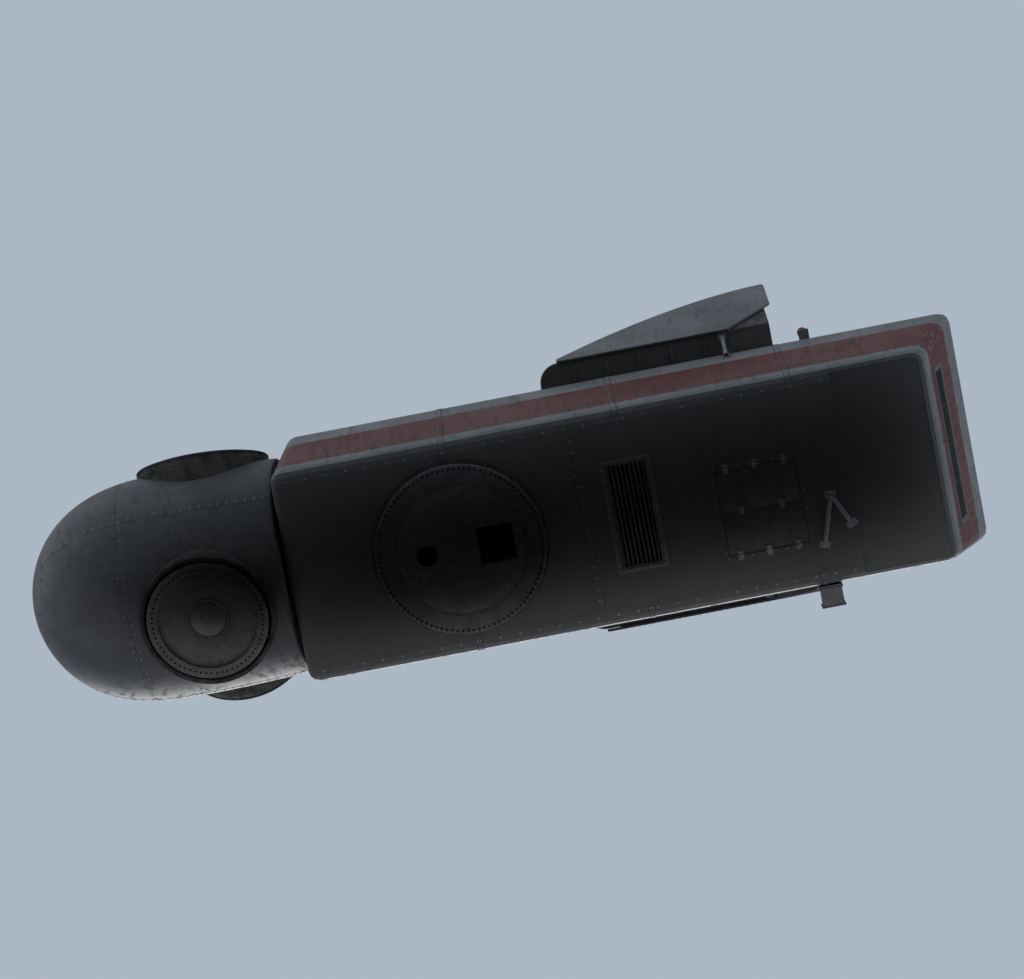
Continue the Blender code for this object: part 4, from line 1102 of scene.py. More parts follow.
def build_bank_gussets():
    bm = bmesh.new()
    outward = RADIATOR_T / 2 + 0.008
    for edge in (-1, 1):
        for y in (-(BANK_HALF - POST_W / 2), 0.0, BANK_HALF - POST_W / 2):
            for z in (RADIATOR_Z0 + 0.09, RADIATOR_Z0 + RADIATOR_H - 0.09):
                width = 0.30 if y == 0.0 else 0.14
                place = Matrix.Translation((BANK_X + edge * outward, y, z))
                add_block(bm, (0.012, width, 0.17), place, 0.004, 1)
                for dy in (-width / 2 + 0.035, width / 2 - 0.035):
                    for dz in (-0.05, 0.05):
                        spot = Vector((BANK_X + edge * (outward + 0.006), y + dy, z + dz))
                        add_bolt(bm, upright(spot, (edge, 0.0, 0.0)), 0.014, 0.012)
    piece("bank_gussets", bm, GALVANISED, "nacelle")


build_bank_frame()
build_bank_gussets()

# %% Sill and bearers as rolled sections
BEARER_Y, BEARER_X0, BEARER_W, SILL_L = 1.55, 2.50, 0.16, 0.72
BEARER_X1 = BANK_X + SILL_L / 2


def build_bearers():
    """I-sections on the roof, with bolted feet, and a channel under the radiators."""
    tall = TRAY_Z0 - ROOF_Z - 0.0006
    middle = (BEARER_X0 + BEARER_X1) / 2
    length = BEARER_X1 - BEARER_X0
    for side, sign in (("left", -1), ("right", 1)):
        bm = bmesh.new()
        y = sign * BEARER_Y
        for z in (ROOF_Z + 0.0065, TRAY_Z0 - 0.0065):
            add_block(bm, (length, BEARER_W, 0.012), Matrix.Translation((middle, y, z)), 0.003, 1)
        add_block(bm, (length, 0.012, tall - 0.02), Matrix.Translation((middle, y, ROOF_Z + tall / 2)))
        for x in spread(BEARER_X0 + 0.10, BEARER_X1 - 0.10, 8):
            add_block(bm, (0.010, BEARER_W - 0.01, tall - 0.02), Matrix.Translation((x, y, ROOF_Z + tall / 2)))
            for dy in (-1, 1):
                spot = Vector((x + 0.06, y + dy * 0.052, ROOF_Z + 0.012))
                add_bolt(bm, upright(spot, (0.0, 0.0, 1.0)), 0.015, 0.014)
        piece(f"bearer_{side}", bm, GALVANISED, "nacelle", [f"cooler_bearer_{side}"])
    bm = bmesh.new()
    z0, z1 = TRAY_Z0 + 0.006, TRAY_Z1 - 0.006
    for z in (z0, z1):
        add_block(bm, (SILL_L, 2 * BANK_HALF, 0.012), Matrix.Translation((BANK_X, 0.0, z)), 0.003, 1)
    for x in (-SILL_L / 2 + 0.04, 0.0, SILL_L / 2 - 0.04):
        add_block(bm, (0.012, 2 * BANK_HALF - 0.01, z1 - z0), Matrix.Translation((BANK_X + x, 0.0, (z0 + z1) / 2)))
    for y in spread(-BANK_HALF + 0.012, BANK_HALF - 0.012, 11):
        add_block(bm, (SILL_L - 0.02, 0.012, z1 - z0), Matrix.Translation((BANK_X, y, (z0 + z1) / 2)))
        spot = Vector((BANK_X - SILL_L / 2 + 0.08, y * 0.96, TRAY_Z1))
        add_bolt(bm, upright(spot, (0.0, 0.0, 1.0)), 0.016, 0.014)
    # The sill takes the near-black shaded zinc, which is painted shade.
    piece("bank_sill", bm, SHADED_ZINC, "nacelle", ["radiator_sill"])
    bm = bmesh.new()
    start, stop = TRAY_X1 - 0.006, BANK_X - SILL_L / 2 + 0.05
    size = (stop - start, 2 * BANK_HALF, 0.006)
    add_block(bm, size, Matrix.Translation(((start + stop) / 2, 0.0, TRAY_Z0 + 0.004)))
    for y in spread(-BANK_HALF + 0.06, BANK_HALF - 0.06, 12):
        add_block(bm, (stop - start - 0.06, 0.03, 0.05), Matrix.Translation(((start + stop) / 2, y, TRAY_Z0 + 0.03)), 0.003, 1)
    # The gap plate takes the near-black shaded zinc, which is painted shade.
    piece("gap_plate", bm, SHADED_ZINC, "nacelle")


build_bearers()

# %% [markdown]
# ## Cheeks beside the radiators
# The fins end in a slant behind the tray, which leaves the side of the radiator bank open there. A black cheek plate
# closes that corner; its near-black finish is painted shade, as the corner lies in shade.
# It could be cut as part of the fin, but it has another finish, so it is a plate of its own
# in the fin's plane, bolted behind the slant. A foot plate with three cleats carries it
# from the sill.

# %% Cheeks and their foot plates
CHEEK_T = 0.008
CHEEK_LAP = 0.12
CHEEK_FOOT = 0.08


def build_cheek(side, sign):
    axes = fin_axes(sign)
    inward = sign * (FIN_T / 2 + 0.003 + CHEEK_T / 2)
    start, stop = TRAY_X1 + 0.004, BEARER_X1
    slant = FIN_TAIL_H / (FIN_X1 - TRAY_X1)
    top = [(x, (x - TRAY_X1) * slant + CHEEK_LAP) for x in (stop, start)]
    outline = [(start, CHEEK_FOOT), (stop, CHEEK_FOOT)] + top
    bm = bmesh.new()
    place = axes @ Matrix.Translation((0.0, 0.0, inward))
    add_outline_plate(bm, outline if sign < 0 else outline[::-1], CHEEK_T, place, 0.003, 1)
    flange = Matrix.Translation((stop - 0.004, (CHEEK_FOOT + top[0][1]) / 2, sign * 0.022))
    add_block(bm, (0.008, top[0][1] - CHEEK_FOOT - 0.01, 0.045), place @ flange, 0.002, 1)
    outward = axes.to_3x3() @ Vector((0.0, 0.0, -sign))
    for x in spread(start + 0.08, stop - 0.06, 7):
        add_bolt(bm, upright(place @ Vector((x, CHEEK_FOOT + 0.05, -sign * CHEEK_T / 2)), outward), 0.011, 0.009)
    foot_y = (place @ Vector((0.0, CHEEK_FOOT, 0.0))).y
    width = abs(foot_y) - BANK_HALF - 0.001
    middle_y = sign * (BANK_HALF + abs(foot_y)) / 2
    foot = Matrix.Translation(((start + stop - 0.01) / 2, middle_y, TRAY_Z0 + 0.004))
    add_block(bm, (stop - start + 0.01, width, 0.006), foot)
    for x in spread(BANK_X - SILL_L / 2 + 0.06, stop - 0.06, 3):
        cleat = Matrix.Translation((x, middle_y, TRAY_Z0 + 0.034))
        add_block(bm, (0.05, width, 0.05), cleat, 0.004, 1)
    # The cheek's near-black finish is painted shade.
    piece(f"bank_cheek_{side}", bm, SHADE_BLACK_PLATE, "nacelle")


for side, sign in (("left", -1), ("right", 1)):
    build_cheek(side, sign)

# %% Braces, stays and strut with their end plates
BRACE_X, BRACE_R, STAY_R = 6.15, 0.045, 0.03
WALL_FLARE = (ROOF_HALF - FLOOR_HALF) / (ROOF_Z - FLOOR_Z)


def add_end_plate(bm, place, outward, size, twist=0.0, bolt_r=0.014):
    """A plate on a surface, with a bolt near each corner."""
    axes = upright(Vector(place), outward, twist)
    add_block(bm, (size[0], size[1], 0.014), axes @ Matrix.Translation((0.0, 0.0, 0.007)), 0.004, 1)
    for dx in (-1, 1):
        for dy in (-1, 1):
            spot = Matrix.Translation((dx * (size[0] / 2 - 0.03), dy * (size[1] / 2 - 0.03), 0.014))
            add_bolt(bm, axes @ spot, bolt_r, 0.012)


def build_carriers(side, sign):
    low_z = ROOF_Z - 0.50
    wall = Vector((0.0, sign * 1.0, -WALL_FLARE)).normalized()
    low = Vector((BRACE_X, sign * (side_y(low_z) + BRACE_R), low_z))
    high = Vector((BRACE_X, sign * (TRAY_HALF - 0.10), TRAY_Z0 - BRACE_R))
    bm = bmesh.new()
    add_bar(bm, (low, high), BRACE_R, 16)
    foot = Vector((BRACE_X, sign * side_y(low_z - 0.02), low_z - 0.02))
    add_end_plate(bm, foot, wall, (0.16, 0.26))
    for dx in (-1, 1):
        ear = upright(foot + wall * 0.05, wall) @ Matrix.Translation((dx * 0.052, 0.0, 0.0))
        add_block(bm, (0.012, 0.14, 0.10), ear, 0.003, 1)
    add_end_plate(bm, high + Vector((0.0, 0.0, BRACE_R - 0.001)), (0.0, 0.0, -1.0), (0.17, 0.17))
    piece(f"brace_{side}", bm, GALVANISED, "nacelle", [f"cooler_brace_{side}"])
    stay_z = BEAM_TOP - BEAM_T / 2
    fin_y = FIN_FOOT_Y + (stay_z - TRAY_Z0 + FIN_LIP) * math.tan(FIN_LEAN)
    outer = fin_y - FIN_T / 2 / math.cos(FIN_LEAN) - 0.008
    bm = bmesh.new()
    ends = [(BANK_X, sign * (BANK_HALF + 0.0003), stay_z), (BANK_X, sign * outer, stay_z)]
    add_bar(bm, ends, STAY_R, 16)
    add_end_plate(bm, ends[0], (0.0, sign, 0.0), (0.13, 0.10), 0.0, 0.010)
    inward = Vector((0.0, -sign * math.cos(FIN_LEAN), math.sin(FIN_LEAN)))
    add_end_plate(bm, ends[1], inward, (0.16, 0.16), 0.0, 0.012)
    piece(f"stay_{side}", bm, GALVANISED, "nacelle", [f"fin_stay_{side}"])


def build_strut():
    foot = Vector((BANK_X - 1.45, 0.0, TRAY_Z1 + 0.035))
    head = Vector((BANK_X - RADIATOR_T * 0.4 - 0.035, 0.0, TRAY_Z1 + RADIATOR_H * 0.8))
    bm = bmesh.new()
    add_bar(bm, (foot, head), STAY_R, 16)
    add_end_plate(bm, foot - Vector((0.0, 0.0, 0.034)), (0.0, 0.0, 1.0), (0.20, 0.20))
    for dy in (-1, 1):
        place = foot + Vector((0.0, dy * 0.042, 0.01))
        add_block(bm, (0.14, 0.012, 0.10), Matrix.Translation(place), 0.003, 1)
        place = head + Vector((0.02, dy * 0.042, 0.0))
        add_block(bm, (0.12, 0.012, 0.12), Matrix.Translation(place), 0.003, 1)
    piece("bank_strut", bm, GALVANISED, "nacelle", ["cooler_strut"])


for side, sign in (("left", -1), ("right", 1)):
    build_carriers(side, sign)
build_strut()

# %% [markdown]
# ## Joints between the housing's panels
# The housing is put together from laminated panels, and each joint is covered by a flat
# strip that is bolted down on both sides. The strip follows the section of the housing, so
# it is drawn as a path round the rounded corners and lifted a few millimetres off the
# surface. A bump in the paint would be cheaper but would vanish at the outline.

# %% Section of the housing and strips along it
STRIP_W, STRIP_T = 0.11, 0.007


def corner_curve(corner, before, after, reach, steps=6):
    """Points and outward normals round a corner whose arc starts this far from it."""
    corner = Vector(corner)
    a, b = (Vector(before) - corner).normalized(), (Vector(after) - corner).normalized()
    centre = corner + (a + b).normalized() * reach / a.dot((a + b).normalized())
    start, stop = corner + a * reach - centre, corner + b * reach - centre
    return [
        (centre + start.lerp(stop, k / steps).normalized() * start.length, start.lerp(stop, k / steps).normalized())
        for k in range(steps + 1)
    ]


def wall_section(sign):
    """(y, z) points with normals from the floor, up a side wall, to the roof."""
    low, high = (sign * FLOOR_HALF, FLOOR_Z), (sign * ROOF_HALF, ROOF_Z)
    path = [(Vector((sign * 1.86, FLOOR_Z)), Vector((0.0, -1.0)))]
    path += corner_curve(low, (0.0, FLOOR_Z), high, EDGE)
    path += corner_curve(high, low, (0.0, ROOF_Z), EDGE)
    return path + [(Vector((sign * 2.14, ROOF_Z)), Vector((0.0, 1.0)))]


def add_section_strip(bm, x, path, width=STRIP_W, thick=STRIP_T):
    """A strip across the housing at x, chamfered on both edges and closed at its ends."""
    shape = ((-width / 2, -0.004), (-width / 2, thick * 0.4), (-width / 2 + thick, thick),
             (width / 2 - thick, thick), (width / 2, thick * 0.4), (width / 2, -0.004))
    rings = []
    for place, normal in path:
        ring = [bm.verts.new((x + dx, *(place + normal * lift))) for dx, lift in shape]
        rings.append(ring)
    for low, high in zip(rings, rings[1:]):
        for k in range(len(shape)):
            m = (k + 1) % len(shape)
            bm.faces.new((low[k], low[m], high[m], high[k]))
    bm.faces.new(rings[0])
    bm.faces.new(list(reversed(rings[-1])))


def along_path(path, step):
    """Places and normals at even steps along a section path."""
    found, carried = [], step / 2
    for (a, na), (b, nb) in zip(path, path[1:]):
        length = (b - a).length
        while carried < length:
            t = carried / length
            found.append((a.lerp(b, t), na.lerp(nb, t).normalized()))
            carried += step
        carried -= length
    return found


# %% Strips and their bolts on walls, floor and roof
WALL_JOINTS = (0.0, 3.60, 7.20)
FLOOR_JOINTS = (2.60, 8.02)
ROOF_JOINTS = (1.30, 8.00)
BOLT_STEP = 0.24


def build_strips():
    strips, bolts, sealant = bmesh.new(), bmesh.new(), bmesh.new()
    floor_path = [(Vector((y, FLOOR_Z)), Vector((0.0, -1.0))) for y in (-1.84, 1.84)]
    roof_path = [(Vector((y, ROOF_Z)), Vector((0.0, 1.0))) for y in (-2.12, 2.12)]
    runs = [(x, wall_section(sign)) for x in WALL_JOINTS for sign in (-1, 1)]
    runs += [(FLOOR_JOINTS[0], floor_path)] + [(x, roof_path) for x in ROOF_JOINTS]
    for x, path in runs:
        add_section_strip(strips, x, path)
        add_section_strip(sealant, x, path, STRIP_W + 0.022, 0.0025)
        for place, normal in along_path(path, BOLT_STEP):
            for dx in (-0.032, 0.032):
                spot = Vector((x + dx, *(place + normal * STRIP_T)))
                add_bolt(bolts, upright(spot, (0.0, *normal)), 0.013, 0.010)
    piece("joint_strips", strips, HOUSING_PAINT, "nacelle")
    piece("joint_sealant", sealant, RUBBER, "nacelle")
    for sign in (-1, 1):
        for x in spread(-3.25, 7.85, 28):
            if min(abs(x - joint) for joint in WALL_JOINTS) > 0.10:
                add_bolt(bolts, upright(Vector((x, sign * 1.99, FLOOR_Z)), (0.0, 0.0, -1.0)), 0.016, 0.012)
        for x in spread(-3.1, 10.6, 36):
            if min(abs(x - joint) for joint in WALL_JOINTS) > 0.10 and abs(x - 7.85) > 0.2:
                add_bolt(bolts, upright(Vector((x, sign * 2.20, ROOF_Z)), (0.0, 0.0, 1.0)), 0.016, 0.012)
    piece("panel_bolts", bolts, BOLT_STEEL, "nacelle")


build_strips()

# %% [markdown]
# ## Crane hatch and air inlet in the floor
# A hoist lowers loads through two doors behind the middle of the floor. They hang on hinges at the outer edges and
# meet in the middle, where two latches hold them. Ahead of them, slanted blades take in cooling air. Both are framed
# by a flat rim with bolts. As these are what the camera sees first, the doors are pressed with shallow ribs, each a
# plate of its own.

# %% Rims, doors and hinges
HATCH_X, HATCH_Y, HATCH_L, HATCH_W = 6.20, 0.35, 1.70, 1.80
RIM_W, RIM_T = 0.08, 0.014


def add_rim(bm, bolts, centre, length, width, outward, step=0.2):
    """A flat frame round an opening in the floor or the roof, with a row of bolts."""
    z = centre[2] + outward * (RIM_T / 2 - 0.001)
    for sign in (-1, 1):
        place = Vector((centre[0], centre[1] + sign * (width + RIM_W) / 2, z))
        add_block(bm, (length + 2 * RIM_W, RIM_W, RIM_T), Matrix.Translation(place), 0.004, 1)
        place = Vector((centre[0] + sign * (length + RIM_W) / 2, centre[1], z))
        add_block(bm, (RIM_W, width - 0.002, RIM_T), Matrix.Translation(place), 0.004, 1)
        for x in spread(-length / 2, length / 2, max(2, int(length / step))):
            spot = Vector((centre[0] + x, centre[1] + sign * (width + RIM_W) / 2, z + outward * RIM_T / 2))
            add_bolt(bolts, upright(spot, (0.0, 0.0, outward)), 0.012, 0.010)
        for y in spread(-width / 2 + 0.1, width / 2 - 0.1, max(2, int(width / step))):
            spot = Vector((centre[0] + sign * (length + RIM_W) / 2, centre[1] + y, z + outward * RIM_T / 2))
            add_bolt(bolts, upright(spot, (0.0, 0.0, outward)), 0.012, 0.010)


def build_hatch():
    doors, rims, steel = bmesh.new(), bmesh.new(), bmesh.new()
    z = FLOOR_Z + 0.035
    for sign in (-1, 1):
        y = HATCH_Y + sign * (HATCH_W / 4 - 0.002)
        size = (HATCH_L - 0.012, HATCH_W / 2 - 0.010, 0.06)
        add_block(doors, size, Matrix.Translation((HATCH_X, y, z)), 0.012)
        for dx in (-0.56, -0.19, 0.19, 0.56):
            place = Matrix.Translation((HATCH_X + dx, y, FLOOR_Z - 0.001))
            add_block(doors, (0.10, HATCH_W / 2 - 0.20, 0.022), place, 0.009, 2)
        for dx in (-0.6, 0.0, 0.6):
            hinge_y = HATCH_Y + sign * (HATCH_W / 2 + 0.004)
            barrel = [(HATCH_X + dx - 0.07, hinge_y, FLOOR_Z - 0.022), (HATCH_X + dx + 0.07, hinge_y, FLOOR_Z - 0.022)]
            add_bar(steel, barrel, 0.016, 12)
            for side in (-1, 1):
                place = Matrix.Translation((HATCH_X + dx, hinge_y + side * 0.055, FLOOR_Z - 0.016))
                add_block(steel, (0.11, 0.085, 0.008), place, 0.003, 1)
        latch = Vector((HATCH_X + sign * 0.42, HATCH_Y, FLOOR_Z - 0.012))
        add_end_plate(steel, latch, (0.0, 0.0, -1.0), (0.12, 0.16), 0.0, 0.009)
        bow = [latch + Vector((0.0, d, h)) for d, h in ((-0.05, -0.01), (-0.05, -0.05), (0.05, -0.05), (0.05, -0.01))]
        add_bar(steel, rounded_path(bow, 0.018, 4), 0.008, 8)
    add_rim(rims, steel, (HATCH_X, HATCH_Y, FLOOR_Z), HATCH_L, HATCH_W, -1.0)
    piece("crane_hatch_doors", doors, HOUSING_PAINT, "nacelle", ["crane_hatch"])
    piece("crane_hatch_rim", rims, HOUSING_PAINT, "nacelle")
    piece("crane_hatch_fittings", steel, BOLT_STEEL, "nacelle")


build_hatch()

# %% Inlet with slanted blades
INLET_X, INLET_L, INLET_W = 3.60, 0.90, 2.20


def build_inlet():
    bm, bolts = bmesh.new(), bmesh.new()
    z = FLOOR_Z + 0.05
    for sign in (-1, 1):
        place = Matrix.Translation((INLET_X, sign * (INLET_W / 2 - 0.023), z))
        add_block(bm, (INLET_L - 0.008, 0.04, 0.078), place, 0.006, 1)
        place = Matrix.Translation((INLET_X + sign * (INLET_L / 2 - 0.023), 0.0, z))
        add_block(bm, (0.04, INLET_W - 0.09, 0.078), place, 0.006, 1)
    for x in spread(-INLET_L / 2 + 0.085, INLET_L / 2 - 0.085, 9):
        lean = Matrix.Translation((INLET_X + x, 0.0, z)) @ Matrix.Rotation(0.6, 4, "Y")
        add_block(bm, (0.008, INLET_W - 0.07, 0.085), lean, 0.002, 1)
    for y in (-0.52, 0.0, 0.52):
        add_block(bm, (INLET_L - 0.07, 0.012, 0.05), Matrix.Translation((INLET_X, y, z + 0.012)))
    add_rim(bm, bolts, (INLET_X, 0.0, FLOOR_Z), INLET_L, INLET_W, -1.0)
    piece("inlet_blades", bm, RADIATOR, "nacelle", ["floor_inlet"])
    piece("inlet_bolts", bolts, BOLT_STEEL, "nacelle")


build_inlet()

# %% [markdown]
# ## Rear louvre and side outlet
# Warm air leaves through a louvre low in the leaning rear wall, and through a short duct
# on the right wall. The louvre's frame shares the wall's slope, so it is built in axes of
# its own: outward, across and up the slope. The duct is a hollow box with a flange and a
# mesh of wires set back in its mouth.

# %% Louvre up the rear slope
LOUVRE_W, LOUVRE_H, LOUVRE_UP, SKIN = 3.20, 0.70, 1.35, 0.10


def louvre_axes():
    normal = Vector((ROOF_Z - FLOOR_Z, 0.0, -REAR_LEAN)).normalized()
    slope = Vector((REAR_LEAN, 0.0, ROOF_Z - FLOOR_Z)).normalized()
    point = Vector((REAR_X, 0.0, FLOOR_Z)) + slope * LOUVRE_UP
    return axes_at(normal, Vector((0.0, 1.0, 0.0)), slope, point)


def build_louvre():
    axes = louvre_axes()
    bm, bolts = bmesh.new(), bmesh.new()
    for sign in (-1, 1):
        place = axes @ Matrix.Translation((-0.044, sign * (LOUVRE_W / 2 - 0.023), 0.0))
        add_block(bm, (0.10, 0.04, LOUVRE_H - 0.008), place, 0.006, 1)
        place = axes @ Matrix.Translation((-0.044, 0.0, sign * (LOUVRE_H / 2 - 0.023)))
        add_block(bm, (0.10, LOUVRE_W - 0.09, 0.04), place, 0.006, 1)
        place = axes @ Matrix.Translation((0.004, sign * (LOUVRE_W / 2 + 0.035), 0.0))
        add_block(bm, (0.012, 0.075, LOUVRE_H + 0.145), place, 0.004, 1)
        place = axes @ Matrix.Translation((0.004, 0.0, sign * (LOUVRE_H / 2 + 0.035)))
        add_block(bm, (0.012, LOUVRE_W - 0.006, 0.075), place, 0.004, 1)
        for y in spread(-LOUVRE_W / 2, LOUVRE_W / 2, 15):
            spot = axes @ Matrix.Translation((0.010, y, sign * (LOUVRE_H / 2 + 0.035)))
            add_bolt(bolts, spot @ Matrix.Rotation(math.radians(90.0), 4, "Y"), 0.012, 0.010)
    for up_slope in spread(-LOUVRE_H / 2 + 0.075, LOUVRE_H / 2 - 0.075, 8):
        place = axes @ Matrix.Translation((-0.042, 0.0, up_slope)) @ Matrix.Rotation(0.65, 4, "Y")
        add_block(bm, (0.105, LOUVRE_W - 0.07, 0.007), place, 0.002, 1)
    for y in (-0.8, 0.0, 0.8):
        place = axes @ Matrix.Translation((-0.048, y, 0.0))
        add_block(bm, (0.085, 0.016, LOUVRE_H - 0.07), place)
    piece("louvre_blades", bm, RADIATOR, "nacelle", ["rear_louvre"])
    piece("louvre_bolts", bolts, BOLT_STEEL, "nacelle")


build_louvre()

# %% Outlet duct on the right wall
OUTLET_X, OUTLET_Z, OUTLET_L, OUTLET_DEPTH = 7.30, 0.72, 0.50, 0.45


def build_outlet():
    y0 = side_y(OUTLET_Z + OUTLET_L / 2)
    y1 = y0 + OUTLET_DEPTH
    bm = bmesh.new()
    wall = 0.012
    for sign in (-1, 1):
        for size, place in (
            ((wall, OUTLET_DEPTH, OUTLET_L - 0.06), (OUTLET_X + sign * (OUTLET_L / 2 - 0.035), 0.0, OUTLET_Z)),
            ((OUTLET_L - 0.06, OUTLET_DEPTH, wall), (OUTLET_X, 0.0, OUTLET_Z + sign * (OUTLET_L / 2 - 0.035))),
        ):
            middle = (place[0], (y0 + y1) / 2, place[2])
            add_block(bm, size, Matrix.Translation(middle), 0.002, 1)
        for y in (y1 - 0.012, y0 + 0.05):
            place = (OUTLET_X + sign * (OUTLET_L / 2 - 0.022), y, OUTLET_Z)
            add_block(bm, (0.044, 0.022, OUTLET_L), Matrix.Translation(place), 0.004, 1)
            place = (OUTLET_X, y, OUTLET_Z + sign * (OUTLET_L / 2 - 0.022))
            add_block(bm, (OUTLET_L - 0.088, 0.022, 0.044), Matrix.Translation(place), 0.004, 1)
    add_block(bm, (OUTLET_L - 0.08, 0.01, OUTLET_L - 0.08), Matrix.Translation((OUTLET_X, y0 + 0.03, OUTLET_Z)))
    reach = OUTLET_L / 2 - 0.045
    for shift in spread(-reach, reach, 10):
        low, high = OUTLET_Z - reach, OUTLET_Z + reach
        add_bar(bm, ((OUTLET_X + shift, y1 - 0.04, low), (OUTLET_X + shift, y1 - 0.04, high)), 0.003, 6)
        ends = ((OUTLET_X - reach, y1 - 0.046, OUTLET_Z + shift), (OUTLET_X + reach, y1 - 0.046, OUTLET_Z + shift))
        add_bar(bm, ends, 0.003, 6)
    piece("outlet_duct", bm, RADIATOR, "nacelle", ["side_outlet"])


build_outlet()

# %% [markdown]
# ## On the roof
# The roof carries two hatches, two rails for a climber's line, a strip of gritted paint to
# walk on, the lights, a lightning rod and the wind sensors on the bank's beam. The lids
# are shallow pressings on a kerb. Grit comes from a coarse grain in its own finish.

# %% Hatches with kerb, lid and handle
HATCH_SIDE, HATCH_TALL = 0.95, 0.14


def build_roof_hatch(name, x, y):
    bm, steel = bmesh.new(), bmesh.new()
    add_block(bm, (HATCH_SIDE - 0.07, HATCH_SIDE - 0.07, 0.08), Matrix.Translation((x, y, ROOF_Z + 0.04)), 0.01)
    place = Matrix.Translation((x, y, ROOF_Z + 0.097))
    add_block(bm, (HATCH_SIDE, HATCH_SIDE, 0.054), place, 0.020, 3)
    place = Matrix.Translation((x, y, ROOF_Z + 0.126))
    add_block(bm, (HATCH_SIDE - 0.22, HATCH_SIDE - 0.22, 0.026), place, 0.012, 3)
    for dy in (-0.28, 0.28):
        spot = Vector((x + HATCH_SIDE / 2 - 0.04, y + dy, ROOF_Z + 0.124))
        add_end_plate(steel, spot, (0.0, 0.0, 1.0), (0.06, 0.12), 0.0, 0.006)
        ends = [spot + Vector((0.030, d, -0.012)) for d in (-0.07, 0.07)]
        add_bar(steel, ends, 0.010, 10)
    grip = [(-0.09, 0.122), (-0.09, 0.136), (0.09, 0.136), (0.09, 0.122)]
    bow = [Vector((x - HATCH_SIDE / 2 + 0.055, y + d, ROOF_Z + h - 0.003)) for d, h in grip]
    add_bar(steel, bow, 0.006, 8)
    piece(f"{name}_lid", bm, HOUSING_PAINT, "nacelle", [name])
    piece(f"{name}_fittings", steel, BOLT_STEEL, "nacelle")


build_roof_hatch("roof_hatch_front", -0.9, 0.75)
build_roof_hatch("roof_hatch_rear", 9.3, 0.0)

# %% Rails for a climber's line
RAIL_Y, RAIL_X, RAIL_H, RAIL_R = 1.90, (-2.60, 1.00), 0.26, 0.026


def build_rail(side, sign):
    y, low = sign * RAIL_Y, ROOF_Z + 0.001
    path = [(RAIL_X[0], low), (RAIL_X[0], low + RAIL_H), (RAIL_X[1], low + RAIL_H), (RAIL_X[1], low)]
    bm = bmesh.new()
    add_bar(bm, rounded_path([(x, y, z) for x, z in path], 0.10, 6), RAIL_R, 14)
    for x in spread(RAIL_X[0], RAIL_X[1], 4)[1:-1]:
        add_bar(bm, ((x, y, low), (x, y, low + RAIL_H - 0.01)), RAIL_R * 0.8, 12)
    for x in spread(RAIL_X[0], RAIL_X[1], 4):
        add_end_plate(bm, (x, y, ROOF_Z), (0.0, 0.0, 1.0), (0.13, 0.13), 0.0, 0.010)
    piece(f"rail_{side}", bm, GALVANISED, "nacelle", [f"roof_rail_{side}"])


for side, sign in (("left", -1), ("right", 1)):
    build_rail(side, sign)


# %% Gritted walkway
def gritted_paint():
    material, tree, shader = finish_of("gritted_paint")
    colour = layer(tree, (0.080, 0.084, 0.088), (0.135, 0.140, 0.145), group_node(tree, BLOTCHES, Scale=1.5))
    colour = layer(tree, colour, GREY_PAINT, group_node(tree, BLOTCHES, Scale=5.0, Low=0.58, High=0.64), 0.8)
    colour = layer(tree, colour, DUST, group_node(tree, DUST_ABOVE), 0.25)
    grit = group_node(tree, GRAIN, "Height", Scale=120.0, Waviness=0.2)
    set_surface(tree, shader, colour, group_node(tree, BLOTCHES, Scale=8.0), (0.75, 0.95), grit, 0.012)
    return material


GRITTED_PAINT = gritted_paint()


def build_walkway():
    bm = bmesh.new()
    for x0, x1, half, y in ((-2.9, -1.45, 0.85, 0.0), (-0.34, 1.20, 0.85, 0.0), (-1.40, -0.40, 0.42, -0.43),
                            (8.10, 8.78, 0.60, 0.0)):
        r = 0.08
        corners = [(x1 - r, y - half + r, -90), (x1 - r, y + half - r, 0), (x0 + r, y + half - r, 90),
                   (x0 + r, y - half + r, 180)]
        outline = [point for cx, cy, a in corners for point in arc((cx, cy), r, a, a + 90.0, 4)]
        place = Matrix.Translation((0.0, 0.0, ROOF_Z + 0.0015))
        add_outline_plate(bm, outline, 0.005, place, 0.001, 1)
    piece("roof_walkway", bm, GRITTED_PAINT, "nacelle")


build_walkway()

# %% [markdown]
# ## Lights, rod and wind sensors
# Each obstruction light stands on an arm that carries it over the roof's edge, so that it
# is seen from below. Its foot and cage are galvanised and only the lens is red, so it
# becomes two pieces with two finishes. The lens is turned with shallow rings, which are
# what spread the light of a real one. The sensors are turned parts too, with a vane and
# three cups made from cut half spheres.

# %% Obstruction lights
LIGHT_X, LIGHT_Y, LIGHT_ARM = 7.85, 2.52, (0.22, 0.64, 0.05)


